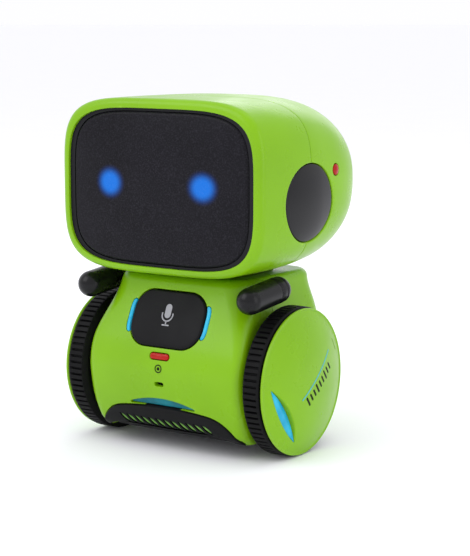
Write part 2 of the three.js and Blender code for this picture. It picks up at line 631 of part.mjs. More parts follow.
function addWheel(name, side) {
  const { radius, axleY, innerX, tyreOuterX, capRadius, capRimX } = wheel;
  const place = (geometry) => (side > 0 ? geometry : geometry.rotateZ(Math.PI)).translate(0, axleY, radius);
  const tyreProfile = [[21, innerX], [25.2, innerX], [26.9, innerX + 0.9], [radius, innerX + 2.2],
    [radius, tyreOuterX - 0.8], [radius - 0.5, tyreOuterX], [21, tyreOuterX], [21, innerX]];
  addPiece(`tyre_${name}`, place(turned(tyreProfile, 0, 0, 32)), blackRubber);
  const rimProfile = [[0, innerX + 0.7], [4, innerX + 0.7], [5, innerX + 2], [20.7, innerX + 2],
    [20.7, tyreOuterX - 0.3], [0, tyreOuterX - 0.3]];
  const bore = rod('x', axle.radius + gap, innerX - 1, 41.8, [0, 0], 16);
  addPiece(`wheel_disc_${name}`, place(cut(turned(rimProfile, 0, 0, 24), bore)), blackSatin);
  const domeRise = width / 2 - capRimX - 0.6;
  const domeRadius = (capRadius ** 2 + domeRise ** 2) / (2 * domeRise);
  const capProfile = [[0, capRimX], [capRadius - 0.5, capRimX], [capRadius, capRimX + 0.6]];
  for (const reach of [25, 19, 11, 0]) {
    capProfile.push([reach, width / 2 - domeRadius + Math.sqrt(domeRadius ** 2 - reach ** 2)]);
  }
  addPiece(`hub_cap_${name}`, place(cut(turned(capProfile, 0, 0, 32), hubPlug(0))), greenShell);
  addPiece(`hub_light_${name}`, place(hubPlug(gap)), cyanLens);
  const shaft = rod('x', axle.radius, axle.innerX, axle.outerX, [0, 0], 16);
  addPiece(`axle_${name}`, place(shaft), steel);
  const gearX = side > 0 ? gear.x : -gear.x - gear.width;
  const wheelGear = gearSolid(gear.wheelTeeth, meshAngle, axle.radius + gap, axleY, radius);
  addPiece(`wheel_gear_${name}`, wheelGear.translate(gearX, 0, 0), whitePlastic);
  const pinionTurn = meshAngle + Math.PI + Math.PI / gear.pinionTeeth;
  const pinion = gearSolid(gear.pinionTeeth, pinionTurn, 1.1, pinionY, pinionZ);
  addPiece(`motor_pinion_${name}`, pinion.translate(gearX, 0, 0), whitePlastic);
  const inner = gear.x - gap - 0.2;
  const block = boxBetween([inner - motor.length, -motor.depth / 2, -motor.height / 2],
    [inner, motor.depth / 2, motor.height / 2]);
  const shaftEnd = rod('x', 0.8, inner - 1, gear.x + gear.width, [0, 0], 10);
  const drive = join(block, shaftEnd);
  drive.rotateZ(side > 0 ? 0 : Math.PI).translate(0, pinionY, pinionZ);
  addPiece(`gear_motor_${name}`, drive, steel);
}

// The lens-shaped light in the hub cap, or with no inset the pocket that it sits in.
// It runs between two points, given across and up from the axle.
function hubPlug(inset) {
  const from = new THREE.Vector2(...hubLight.from);
  const to = new THREE.Vector2(...hubLight.to);
  const along = to.clone().sub(from);
  const half = along.length() / 2 - 2 * inset;
  const swell = hubLight.swell - 2 * inset;
  const shape = new THREE.Shape();
  shape.moveTo(-half, 0);
  shape.quadraticCurveTo(0, -swell, half, 0);
  shape.quadraticCurveTo(0, swell, -half, 0);
  const outerX = inset ? hubLight.faceX : width;
  return prism(shape, hubLight.backX + inset, outerX, 8)
    .rotateZ(along.angle())
    .translate((from.x + to.x) / 2, (from.y + to.y) / 2, 0)
    .applyMatrix4(sideFrame);
}

// ---- arms ---------------------------------------------------------------------------------
function addArm(name, side) {
  const { x, radius, shoulderY, shoulderZ, length, droop } = arm;
  const profile = [[0, -radius]];
  for (const turn of [-50, 0]) {
    profile.push([radius * Math.cos(degrees(turn)), radius * Math.sin(degrees(turn))]);
  }
  profile.push([radius, 1.2], [radius - 0.5, 1.5], [radius - 0.5, 2.1], [radius, 2.4]);
  for (const turn of [0, 50]) {
    profile.push([radius * Math.cos(degrees(turn)), length + radius * Math.sin(degrees(turn))]);
  }
  profile.push([0, length + radius]);
  const points = profile.map(([reach, along]) => new THREE.Vector2(reach, along));
  const capsule = new THREE.LatheGeometry(points, 14).rotateX(Math.PI + degrees(droop));
  const socket = side > 0 ? rod('x', 2.3, -9, -1.5, [0, 0], 16) : rod('x', 2.3, 1.5, 9, [0, 0], 16);
  addPiece(`arm_${name}`, cut(capsule, socket).translate(side * x, shoulderY, shoulderZ), blackSatin);
  const retainer = boxBetween([25.4, -2, -4], [26.8, 2, 1]);
  const shaft = join(rod('x', 2, 25.6, 34, [0, 0], 16), retainer);
  const pin = (side > 0 ? shaft : shaft.rotateZ(Math.PI)).translate(0, shoulderY, shoulderZ);
  addPiece(`arm_pin_${name}`, pin, blackSatin);
}

addBodyShells();
addChest();
addBumper();
addBase();
addPower();
addNeck();
addHeadShells();
addHeadPieces();
for (const [name, side] of sides) {
  addWheel(name, side);
  addArm(name, side);
}

export default robot;
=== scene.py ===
import json
import math
import bpy
import numpy as np
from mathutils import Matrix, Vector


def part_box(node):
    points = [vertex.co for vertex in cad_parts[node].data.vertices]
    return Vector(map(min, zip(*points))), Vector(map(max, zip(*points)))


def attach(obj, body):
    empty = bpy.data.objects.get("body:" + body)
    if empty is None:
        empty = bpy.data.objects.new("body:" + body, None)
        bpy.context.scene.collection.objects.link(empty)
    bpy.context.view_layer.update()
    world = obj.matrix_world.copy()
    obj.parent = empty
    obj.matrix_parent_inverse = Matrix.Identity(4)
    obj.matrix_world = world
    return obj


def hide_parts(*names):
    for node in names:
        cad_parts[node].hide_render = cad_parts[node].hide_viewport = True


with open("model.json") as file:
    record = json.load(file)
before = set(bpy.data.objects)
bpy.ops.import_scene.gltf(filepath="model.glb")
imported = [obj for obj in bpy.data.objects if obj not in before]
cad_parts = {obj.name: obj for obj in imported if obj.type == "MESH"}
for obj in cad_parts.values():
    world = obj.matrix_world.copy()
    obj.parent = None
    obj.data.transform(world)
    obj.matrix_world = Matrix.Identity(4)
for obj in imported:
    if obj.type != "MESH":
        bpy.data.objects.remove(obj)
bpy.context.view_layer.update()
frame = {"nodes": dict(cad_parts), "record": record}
print("frame loaded:", len(frame["nodes"]), "nodes")

# All shapes are worked out in millimetres and scaled to metres when their mesh is finished.
# The robot faces -Y, so its own left side is +X.
mm = 0.001
sides = [("left", 1), ("right", -1)]


# ---------- small helpers

# 0 below 0, 1 above 1, and a smooth S between
def smooth(t):
    t = np.clip(t, 0, 1)
    return t * t * (3 - 2 * t)


# the lowest and highest corner of a node, in millimetres
def boxOf(node):
    low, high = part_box(node)
    return np.array(low) / mm, np.array(high) / mm


def hingeAt(name):
    for joint in frame["record"]["behaviour"]["joints"]:
        if joint["name"] == name:
            return np.array(joint["pos_m"]) / mm


# A surface is a tuple of points, four-sided faces and three-sided faces. Rings of equal length are
# joined side by side; the last ring meets the first, or a fan round its middle closes each end.
def skin(rings, closed=False):
    count, size = rings.shape[:2]
    here = np.arange(count * size).reshape(count, size)
    beside = np.roll(here, -1, axis=1)
    points = rings.reshape(-1, 3)
    if closed:
        quads = np.stack([here, beside, np.roll(beside, -1, axis=0), np.roll(here, -1, axis=0)], -1)
        return outward(points, quads.reshape(-1, 4), np.zeros((0, 3), int))
    quads = np.stack([here[:-1], beside[:-1], beside[1:], here[1:]], -1).reshape(-1, 4)
    first, last = count * size, count * size + 1
    points = np.vstack([points, rings[0].mean(axis=0), rings[-1].mean(axis=0)])
    startFan = np.stack([np.full(size, first), beside[0], here[0]], -1)
    endFan = np.stack([np.full(size, last), here[-1], beside[-1]], -1)
    return outward(points, quads, np.vstack([startFan, endFan]))


# turns every face round when the volume that they enclose comes out negative
def outward(points, quads, triangles):
    corners = np.vstack([quads[:, [0, 1, 2]], quads[:, [0, 2, 3]], triangles])
    a, b, c = points[corners[:, 0]], points[corners[:, 1]], points[corners[:, 2]]
    if np.einsum("ij,ij->", a, np.cross(b, c)) < 0:
        quads, triangles = quads[:, ::-1], triangles[:, ::-1]
    return points, quads, triangles


def merged(surfaces):
    points, quads, triangles, start = [], [], [], 0
    for some, four, three in surfaces:
        points.append(some)
        quads.append(four + start)
        triangles.append(three + start)
        start += len(some)
    return np.vstack(points), np.vstack(quads), np.vstack(triangles)


# the mirror image in the plane x = 0, turned the right way out again
def mirrored(surface):
    points, quads, triangles = surface
    return outward(points * [-1, 1, 1], quads, triangles)


def sided(surface, side):
    return surface if side > 0 else mirrored(surface)


def newPiece(name, surfaces):
    points, quads, triangles = merged(surfaces)
    mesh = bpy.data.meshes.new(name)
    mesh.from_pydata(points.tolist(), [], quads.tolist() + triangles.tolist())
    piece = bpy.data.objects.new(name, mesh)
    bpy.context.scene.collection.objects.link(piece)
    return piece


def applyModifiers(piece):
    graph = bpy.context.evaluated_depsgraph_get()
    mesh = bpy.data.meshes.new_from_object(piece.evaluated_get(graph))
    piece.modifiers.clear()
    piece.data = mesh


# cuts the surfaces out of the piece, or joins them to it; surfaces of one call stay clear of each other
def carve(piece, surfaces, operation="DIFFERENCE"):
    cutter = newPiece("cutter", surfaces)
    modifier = piece.modifiers.new("carve", "BOOLEAN")
    modifier.operation = operation
    modifier.solver = "EXACT"
    modifier.object = cutter
    applyModifiers(piece)
    bpy.data.objects.remove(cutter)


def finish(piece, material, body, replaced=(), sharp=32):
    mesh = piece.data
    places = np.empty(len(mesh.vertices) * 3)
    mesh.vertices.foreach_get("co", places)
    mesh.vertices.foreach_set("co", places * mm)
    mesh.polygons.foreach_set("use_smooth", np.ones(len(mesh.polygons), bool))
    mesh.set_sharp_from_angle(angle=math.radians(sharp))
    mesh.materials.clear()
    mesh.materials.append(material)
    mesh.update()
    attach(piece, body)
    if replaced:
        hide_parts(*replaced)
    return piece


# ---------- outlines and surface-following plates

# closed outline of a rounded rectangle, with quarter circles of the given radius
def roundedRect(width, height, corner, steps=8, straight=6):
    corners = [(1, -1, -90), (1, 1, 0), (-1, 1, 90), (-1, -1, 180)]
    turn = np.radians(np.linspace(0, 90, steps + 1))
    points = []
    for x, y, start in corners:
        middle = np.array([x * (width / 2 - corner), y * (height / 2 - corner)])
        angle = turn + math.radians(start)
        points.append(middle + corner * np.stack([np.cos(angle), np.sin(angle)], -1))
    out = []
    for now, following in zip(points, points[1:] + points[:1]):
        share = np.linspace(0, 1, straight + 1)[1:-1, None]
        out += [now, now[-1] * (1 - share) + following[0] * share]
    return np.vstack(out)


# closed outline through corners, each side a parabola that bows out by its own amount
def bowed(corners, bows, steps=16):
    share = np.linspace(0, 1, steps, endpoint=False)[:, None]
    out = []
    for (start, end), bow in zip(zip(corners, corners[1:] + corners[:1]), bows):
        start, end = np.array(start, float), np.array(end, float)
        side = (end - start)[::-1] * [1, -1] / np.linalg.norm(end - start)
        out.append(start + (end - start) * share + side * bow * 4 * share * (1 - share))
    return np.vstack(out)


# moves every point of an anticlockwise outline outwards along the bisector of its neighbours
def grown(outline, amount):
    along = np.roll(outline, -1, axis=0) - np.roll(outline, 1, axis=0)
    normal = np.stack([along[:, 1], -along[:, 0]], -1)
    return outline + amount * normal / np.linalg.norm(normal, axis=1, keepdims=True)


# A plate or cutter that follows a curved surface. Each level is a height above the surface, how far
# the outline has grown there, and how far it is scaled towards its middle.
def follow(outline, levels, place):
    middle = outline.mean(axis=0)
    rings = []
    for height, grow, scale in levels:
        flat = middle + (grown(outline, grow) - middle) * scale
        rings.append(place(flat[:, 0], flat[:, 1], height))
    return skin(np.stack(rings))


# levels of a hole whose mouth is rounded over with the given radius
def holeLevels(deep, radius):
    arc = np.radians(np.linspace(0, 90, 5))
    lip = [(-radius * (1 - math.sin(a)), radius * (1 - math.cos(a)), 1) for a in arc]
    return [(-deep, 0, 1)] + lip + [(1.5, radius + 0.02, 1)]


# levels of a plate with a rounded edge, whose face swells by the crown towards its middle
def plateLevels(deep, proud, radius, crown=0.0, steps=7):
    arc = np.radians(np.linspace(0, 90, 5))
    edge = [(proud - radius * (1 - math.sin(a)), -radius * (1 - math.cos(a)), 1) for a in arc]
    scales = np.linspace(1, 0.04, steps)[1:]
    face = [(proud + crown * (1 - s * s), -radius, s) for s in scales]
    return [(-deep, 0, 0.2), (-deep, 0, 1)] + edge + face


# the point above a surface given as places(u, v), at a height along its normal
def above(places, u, v, height, facing):
    step = 0.05
    here = places(u, v)
    normal = np.cross(places(u + step, v) - here, places(u, v + step) - here)
    normal /= np.linalg.norm(normal, axis=-1, keepdims=True)
    flip = np.sign(normal @ np.array(facing, float))[..., None]
    return here + normal * flip * height


# a printed stroke: a thin ribbon of given widths along a path, just proud of the surface
def stroke(path, widths, place, closed=False, height=0.07):
    path = np.asarray(path, float)
    along = np.roll(path, -1, axis=0) - np.roll(path, 1, axis=0)
    if not closed:
        along[0], along[-1] = path[1] - path[0], path[-1] - path[-2]
    side = np.stack([along[:, 1], -along[:, 0]], -1) / np.linalg.norm(along, axis=1, keepdims=True)
    half = np.broadcast_to(np.asarray(widths, float) / 2, len(path))[:, None]
    ringPoints = []
    for share, level in ((1, -0.12), (1, height), (0, height), (-1, height), (-1, -0.12)):
        flat = path + side * half * share
        ringPoints.append(place(flat[:, 0], flat[:, 1], level))
    return skin(np.stack(ringPoints, axis=1), closed)


# path and widths of a straight stroke with round ends
def roundStroke(start, end, width, steps=24):
    start, end = np.array(start, float), np.array(end, float)
    long = np.linalg.norm(end - start)
    reach = width / 2 * (1 - np.cos(np.linspace(0.15, np.pi / 2, 7)))
    along = np.concatenate([reach - width / 2, np.linspace(0, long, steps), long + width / 2 - reach[::-1]])
    along = np.unique(np.round(along, 4))
    beyond = np.maximum(np.maximum(-along, along - long), 0)
    widths = 2 * np.sqrt(np.maximum((width / 2) ** 2 - beyond ** 2, 0.01 ** 2))
    return start + (end - start) / long * along[:, None], widths


# ---------- body and head surfaces, the same formulas as the CAD shells

bodyShape = {
    "bottom": 5.2, "top": 64.6, "topFillet": 3.0, "halfWidth": 34.7, "neckHalfWidth": 29.4,
    "front": 41.5, "neckFront": 30.7, "back": 22.0, "neckBack": 20.0, "bulge": 1.0, "wall": 2.0,
    "backCorner": 9.0, "seamY": -13.2, "seamGap": 0.3,
}

headShape = {
    "bottom": 66.3, "top": 130.0, "halfWidth": 48.0, "rimHalfWidth": 44.4, "rimFillet": 2.6,
    "rimRoundness": 4.3, "sideRoundness": 2.4, "backRoundness": 2.45, "taperStart": -6.0,
    "frontY": -41.0, "backY": 42.95, "wall": 2.2, "seamY": -13.2, "seamGap": 0.14,
}
headMiddle = (headShape["top"] + headShape["bottom"]) / 2
headHalfHeight = (headShape["top"] - headShape["bottom"]) / 2


# half width, front, back, front corner radius and the inset of the top fillet at height z
def bodySize(z):
    b = bodyShape
    under = np.maximum(0, (20 - z) / 13)
    tuck = np.maximum(0, (31 - z) / 24)
    chin = np.maximum(0, (9 - z) / 4)
    half = b["halfWidth"] - (b["halfWidth"] - b["neckHalfWidth"]) * smooth((z - 36) / 28) - 1.7 * under ** 2
    front = b["front"] - (b["front"] - b["neckFront"]) * smooth((z - 30) / 36)
    front = front - 6 * tuck ** 1.7 - 3.5 * chin ** 1.5
    back = b["back"] - (b["back"] - b["neckBack"]) * smooth((z - 50) / 12)
    corner = 4.5 + 5 * smooth((z - 40) / 24)
    lift = np.clip(z - (b["top"] - b["topFillet"]), 0, b["topFillet"])
    return half, front, back, corner, b["topFillet"] - np.sqrt(b["topFillet"] ** 2 - lift ** 2)


# y of the front of the body at x and z: a shallow parabola between two circular corners
def bodyFront(x, z):
    half, front, _, corner, _ = bodySize(z)
    flat = half - corner
    share = np.clip(np.abs(x) / flat, 0, 1)
    over = np.clip(np.abs(x) - flat, 0, corner * 0.995)
    return -(front - bodyShape["bulge"]) - bodyShape["bulge"] * (1 - share ** 2) + corner - np.sqrt(
        corner ** 2 - over ** 2)


def onFront(x, z, height):
    places = lambda u, v: np.stack([u, bodyFront(u, v), v], -1)
    return above(places, x, z, height, (0, -1, 0.2))


# the chest slopes back, so distances up the slope are a little longer than heights
chest = {"z": 49.5, "lean": 20.5}
slope = math.cos(math.radians(chest["lean"]))


def onChest(u, v, height):
    return onFront(u, chest["z"] + v * slope, height)


def onBack(x, z, height):
    return np.stack([x, bodySize(z)[2] + height, z], -1)


# rings of the body in plan, one for each height: four corners, the bulging front and three flats
def bodyRings(z, inset):
    half, front, back, corner, edge = bodySize(z)
    shrink = inset + edge
    x = half - shrink
    y = front - bodyShape["bulge"] - shrink
    rear = back - shrink
    frontRadius = np.maximum(1, corner - shrink)
    backRadius = np.maximum(1, bodyShape["backCorner"] - shrink)
    turn = np.radians(np.linspace(0, 90, 11))
    share = np.linspace(0, 1, 26)[1:-1]
    cross = np.linspace(-1, 1, 74)[1:-1]
    column = lambda values: np.asarray(values, float)[:, None]

    def arc(middleX, middleY, radius, start):
        angle = turn + math.radians(start)
        across = column(middleX) + column(radius) * np.cos(angle)
        return across, column(middleY) + column(radius) * np.sin(angle)

    def side(sign):
        low, high = column(-y + frontRadius), column(rear - backRadius)
        run = share if sign > 0 else share[::-1]
        return column(sign * x) + 0 * run, low + (high - low) * run

    flat = column(x - frontRadius)
    backFlat = column(x - backRadius)
    parts = [
        arc(x - backRadius, rear - backRadius, backRadius, 0),
        (backFlat * -cross[::2], column(rear) + 0 * cross[::2]),
        arc(-x + backRadius, rear - backRadius, backRadius, 90),
        side(-1),
        arc(-x + frontRadius, -y + frontRadius, frontRadius, 180),
        (flat * cross, -column(y) - bodyShape["bulge"] * (1 - cross ** 2)),
        arc(x - frontRadius, -y + frontRadius, frontRadius, 270),
        side(1),
    ]
    across = np.concatenate([part[0] for part in parts], axis=1)
    deep = np.concatenate([part[1] for part in parts], axis=1)
    return np.stack([across, deep, column(z) + 0 * across], -1)


# half width, half height and roundness of the head's section at y
def headSection(y, inset=0.0):
    h = headShape
    share = np.clip(y / (h["backY"] - inset), 0, 1)
    shrink = np.maximum(0, 1 - share ** h["backRoundness"]) ** (1 / h["backRoundness"])
    taper = np.maximum(0, (h["taperStart"] - y) / (h["taperStart"] - h["frontY"])) ** 1.6
    nose = np.clip(h["frontY"] + h["rimFillet"] - y, 0, h["rimFillet"])
    fillet = h["rimFillet"] - np.sqrt(h["rimFillet"] ** 2 - nose ** 2)
    roundness = h["rimRoundness"] + (h["sideRoundness"] - h["rimRoundness"]) * smooth((y + 30) / 60)
    half = (h["halfWidth"] - inset) * shrink - (h["halfWidth"] - h["rimHalfWidth"]) * taper - fillet
    return half, (headHalfHeight - inset) * shrink - fillet, roundness


# x of the head's left side at y and z
def onHeadSide(y, z, height):
    def places(u, v):
        half, high, roundness = headSection(u)
        up = np.clip(np.abs(v - headMiddle) / high, 0, 0.999)
        return np.stack([half * (1 - up ** roundness) ** (1 / roundness), u, v], -1)
    return above(places, y, z, height, (1, 0, 0))


# superellipse rings in upright planes, one for each y
def headRings(y, half, high, roundness, middleZ=headMiddle, steps=288):
    angle = np.linspace(0, 2 * np.pi, steps, endpoint=False)
    y, half, high, roundness = [np.broadcast_to(v, np.shape(y))[:, None] for v in (y, half, high, roundness)]
    reach = (np.abs(np.cos(angle) / high) ** roundness + np.abs(np.sin(angle) / half) ** roundness) ** (
        -1 / roundness)
    return np.stack([np.sin(angle) * reach, y + 0 * reach, middleZ + np.cos(angle) * reach], -1)


def headSkinRings(y, inset=0.0):
    half, high, roundness = headSection(y, inset)
    return headRings(y, half, high, roundness)


# a cylinder or cone along X, Y or Z through (start, radius) stations
def turnedAlong(axis, stations, middle, steps=48):
    angle = np.linspace(0, 2 * np.pi, steps, endpoint=False)
    along = np.array([s for s, r in stations], float)[:, None] + 0 * angle
    radius = np.array([r for s, r in stations], float)[:, None]
    parts = [radius * np.cos(angle), radius * np.sin(angle)]
    first, second = [part + offset for part, offset in zip(parts, middle)]
    order = {"x": (along, first, second), "y": (first, along, second), "z": (first, second, along)}
    return skin(np.stack(order[axis], -1))


def boxSurface(low, high):
    (x0, y0, z0), (x1, y1, z1) = low, high
    ring = [[x0, y0], [x1, y0], [x1, y1], [x0, y1]]
    return skin(np.array([[[x, y, z] for x, y in ring] for z in (z0, z1)], float))


# ---------- materials

# linear colour from an sRGB hex value
def linear(value):
    parts = [int(value[i:i + 2], 16) / 255 for i in (0, 2, 4)]
    return [p / 12.92 if p <= 0.04045 else ((p + 0.055) / 1.055) ** 2.4 for p in parts] + [1.0]


# adds a node with its own settings, socket values and links
def addNode(material, kind, settings={}, values={}, links={}):
    node = material.node_tree.nodes.new("ShaderNode" + kind)
    for name, value in settings.items():
        setattr(node, name, value)
    for name, value in values.items():
        node.inputs[name].default_value = value
    for name, source in links.items():
        material.node_tree.links.new(source, node.inputs[name])
    return node


# a Principled material with object coordinates: returns the material, its shader and the coordinates
def newMaterial(name, values):
    material = bpy.data.materials.new(name)
    material.use_nodes = True
    shader = material.node_tree.nodes["Principled BSDF"]
    for socket, value in values.items():
        shader.inputs[socket].default_value = value
    place = addNode(material, "TexCoord").outputs["Object"]
    return material, shader, place


# noise whose grains are about the given size in millimetres
def grain(material, place, size, detail=2.0):
    return addNode(material, "TexNoise", values={"Scale": 1 / (size * mm), "Detail": detail},
                   links={"Vector": place}).outputs["Fac"]


# a number spread from low to high as the source goes from one value to another
def spread(material, source, fromLow, fromHigh, toLow, toHigh):
    return addNode(material, "MapRange",
                   values={"From Min": fromLow, "From Max": fromHigh, "To Min": toLow, "To Max": toHigh},
                   links={"Value": source}).outputs["Result"]


def blendColours(material, share, low, high):
    node = addNode(material, "Mix", {"data_type": "RGBA"}, links={0: share})
    for socket, colour in ((6, low), (7, high)):
        if isinstance(colour, str):
            node.inputs[socket].default_value = linear(colour)
        else:
            material.node_tree.links.new(colour, node.inputs[socket])
    return node.outputs[2]


def bumpFrom(material, height, depth, strength=1.0, under=None):
    links = {"Height": height}
    if under:
        links["Normal"] = under
    return addNode(material, "Bump", values={"Strength": strength, "Distance": depth * mm},
                   links=links).outputs["Normal"]


# Injection-moulded plastic: large soft colour drift from the pigment, a roughness that varies with
# handling, a moulded micro texture and convex edges painted a little lighter as a painted edge highlight.
def mouldedPlastic(name, colours, roughness, textureSize, textureDepth, coat=0.0, edgeHighlightColour=None, shine=0.5):
    dark, bright = colours
    material, shader, place = newMaterial(name, {"IOR": 1.53, "Coat Weight": coat, "Coat Roughness": 0.08,
                                                 "Specular IOR Level": shine})
    link = material.node_tree.links.new
    drift = spread(material, grain(material, place, 38), 0.3, 0.7, 0, 1)
    colour = blendColours(material, drift, dark, bright)
    if edgeHighlightColour:
        # painted highlight: convex edges, read from pointiness, are painted lighter in the edge highlight
        # colour
        edge = addNode(material, "NewGeometry").outputs["Pointiness"]
        highlightShare = spread(material, edge, 0.53, 0.62, 0, 0.55)
        colour = blendColours(material, highlightShare, colour, edgeHighlightColour)
    link(colour, shader.inputs["Base Color"])
    smudge = spread(material, grain(material, place, 11, 4), 0.35, 0.7, roughness - 0.04, roughness + 0.06)
    link(smudge, shader.inputs["Roughness"])
    texture = grain(material, place, textureSize, 1)
    link(bumpFrom(material, texture, textureDepth), shader.inputs["Normal"])
    return material


# the lighter edge colour of the green, and 242428 given to the black mouldings below, are painted highlights
# on their convex edges
colours = {
    "green": ("76a904", "7eb308"), "greenEdgeHighlight": "98c838", "black": ("0b0b0d", "111113"),
    "gloss": ("040405", "070708"), "rubber": ("060607", "0d0d0e"), "screen": ("131216", "19181d"),
    "eyeCore": "0a80f6", "eyeRim": "0444a4", "cyan": ("1098c4", "2cb2d8"), "teal": ("07626f", "0b7a88"),
    "red": ("a01008", "b6170e"), "white": ("dedbd0", "eceae2"), "print": ("8c8c92", "98989e"),
}

# glossy ABS with a very fine orange peel, as on polished moulds
green = mouldedPlastic("glossy moulded ABS, lime", colours["green"], 0.3, 1.6, 0.006, 0.06,
                       colours["greenEdgeHighlight"], 0.22)
# the lime painted darker for the ribs in the bumper: painted shade, as they sit in the bumper's shade
paintedShadeLime = mouldedPlastic("moulded ABS, olive", ("5c9430", "6aa038"), 0.4, 0.8, 0.008)
# spark-eroded black ABS: a fine even grain that breaks up highlights
satin = mouldedPlastic("spark-eroded ABS, black", colours["black"], 0.46, 0.34, 0.022, 0.0, "242428", 0.12)
# the arms are polished a little more than the other black mouldings
armBlack = mouldedPlastic("satin moulded ABS, black", colours["black"], 0.26, 0.9, 0.006, 0.0, "242428", 0.22)
# piano black: almost a mirror, with faint haze
piano = mouldedPlastic("polished ABS, piano black", colours["gloss"], 0.12, 3.0, 0.002, 0.0, None, 0.3)
white = mouldedPlastic("natural acetal", colours["white"], 0.42, 0.5, 0.006)
printInk = mouldedPlastic("pad-printed ink, light grey", colours["print"], 0.45, 0.3, 0.006)
darkInk = mouldedPlastic("pad-printed ink, dark", ("0a1004", "101608"), 0.5, 0.3, 0.006, 0.0, None, 0.1)
tealInk = mouldedPlastic("pad-printed ink, teal", ("2f9fb0", "38adbd"), 0.45, 0.3, 0.006)


# moulded rubber: dull, with a coarse bloom of dust that lightens it unevenly
def rubberMaterial():
    material, shader, place = newMaterial("moulded rubber, black", {"IOR": 1.5, "Specular IOR Level": 0.14})
    link = material.node_tree.links.new
    bloom = spread(material, grain(material, place, 6, 5), 0.35, 0.75, 0, 1)
    link(blendColours(material, bloom, *colours["rubber"]), shader.inputs["Base Color"])
    link(spread(material, bloom, 0, 1, 0.5, 0.68), shader.inputs["Roughness"])
    link(bumpFrom(material, grain(material, place, 0.4, 3), 0.02), shader.inputs["Normal"])
    return material


# translucent light insert: glossy outside, a little light glowing from within
def lensMaterial(name, pair, glow):
    material, shader, place = newMaterial(name, {"IOR": 1.49, "Roughness": 0.18, "Specular IOR Level": 0.25,
                                                 "Emission Strength": glow})
    link = material.node_tree.links.new
    depth = spread(material, grain(material, place, 7, 2), 0.35, 0.65, 0, 1)
    colour = blendColours(material, depth, *pair)
    link(colour, shader.inputs["Base Color"])
    link(colour, shader.inputs["Emission Color"])
    link(bumpFrom(material, grain(material, place, 1.1, 1), 0.004), shader.inputs["Normal"])
    return material


# Smoked polycarbonate window with a fine speckled coat. Behind it each eye is a soft round glow, which
# falls off with the distance from the eye's own LED and is a little wider than high.
def screenMaterial():
    material, shader, place = newMaterial("smoked polycarbonate", {"IOR": 1.58, "Specular IOR Level": 0.07})
    link = material.node_tree.links.new
    shade = spread(material, grain(material, place, 30, 2), 0.3, 0.7, 0, 1)
    colour = blendColours(material, shade, *colours["screen"])
    speckle = spread(material, grain(material, place, 0.5, 1), 0.45, 0.75, 0, 0.45)
    colour = blendColours(material, speckle, colour, "34333a")
    link(colour, shader.inputs["Base Color"])
    link(spread(material, shade, 0, 1, 0.3, 0.38), shader.inputs["Roughness"])
    link(bumpFrom(material, grain(material, place, 0.45, 1), 0.01), shader.inputs["Normal"])
    squeeze = 0.92
    flat = addNode(material, "VectorMath", {"operation": "MULTIPLY"}, {1: (squeeze, 0, 1)},
                   {0: place}).outputs[0]
    glows = []
    for name, _ in sides:
        low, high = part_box("eye_led_" + name)
        middle = [(a + b) / 2 for a, b in zip(low, high)]
        away = addNode(material, "VectorMath", {"operation": "DISTANCE"},
                       {1: (squeeze * middle[0], 0, middle[2])}, {0: flat}).outputs["Value"]
        glows.append(addNode(material, "MapRange", {"interpolation_type": "SMOOTHERSTEP"},
                             {"From Min": 1.9 * mm, "From Max": 7.2 * mm, "To Min": 1.0, "To Max": 0.0},
                             {"Value": away}).outputs["Result"])
    glow = addNode(material, "Math", {"operation": "ADD"}, links={0: glows[0], 1: glows[1]}).outputs[0]
    link(blendColours(material, glow, colours["eyeRim"], colours["eyeCore"]), shader.inputs["Emission Color"])
    link(spread(material, glow, 0, 1, 0, 0.85), shader.inputs["Emission Strength"])
    return material


# zinc-plated steel: fine brushed streaks along the piece and a faint cloudy bloom
def steelMaterial():
    material, shader, place = newMaterial("zinc-plated steel", {"Metallic": 1.0})
    link = material.node_tree.links.new
    stretched = addNode(material, "Mapping", values={"Scale": (0.15, 1, 1)}, links={"Vector": place})
    streaks = grain(material, stretched.outputs["Vector"], 0.3, 3)
    link(blendColours(material, grain(material, place, 4), "9a9c9e", "bbbdbe"), shader.inputs["Base Color"])
    link(spread(material, streaks, 0.3, 0.7, 0.22, 0.38), shader.inputs["Roughness"])
    link(bumpFrom(material, streaks, 0.008), shader.inputs["Normal"])
    return material


# glass-epoxy board under green solder mask: lighter copper tracks on a 2.5 mm pitch, raised a little
def boardMaterial():
    material, shader, place = newMaterial("solder-masked board", {"IOR": 1.5, "Roughness": 0.35})
    link = material.node_tree.links.new
    sizes = {"Scale": 1.0, "Brick Width": 7.5 * mm, "Row Height": 2.5 * mm, "Mortar Size": 0.35 * mm}
    tracks = addNode(material, "TexBrick", values=sizes, links={"Vector": place})
    link(blendColours(material, tracks.outputs["Fac"], "174a2c", "2c7446"), shader.inputs["Base Color"])
    link(bumpFrom(material, tracks.outputs["Fac"], 0.05), shader.inputs["Normal"])
    return material


# heat-shrunk film: smooth and glossy, with long soft wrinkles
def filmMaterial():
    material, shader, place = newMaterial("shrink-wrap film", {"IOR": 1.5, "Coat Weight": 0.3})
    link = material.node_tree.links.new
    wrinkles = grain(material, place, 5, 2)
    link(blendColours(material, wrinkles, "34426f", "435487"), shader.inputs["Base Color"])
    link(spread(material, wrinkles, 0.3, 0.7, 0.25, 0.36), shader.inputs["Roughness"])
    link(bumpFrom(material, wrinkles, 0.03), shader.inputs["Normal"])
    return material


rubber = rubberMaterial()
cyan = lensMaterial("light insert, cyan", colours["cyan"], 0.06)
teal = lensMaterial("light insert, teal", colours["teal"], 0.04)
red = lensMaterial("light insert, red", colours["red"], 0.03)
blue = lensMaterial("LED lens, blue", (colours["eyeRim"], colours["eyeCore"]), 1.0)
smoked = screenMaterial()
steel = steelMaterial()
board = boardMaterial()
film = filmMaterial()
print("materials made")

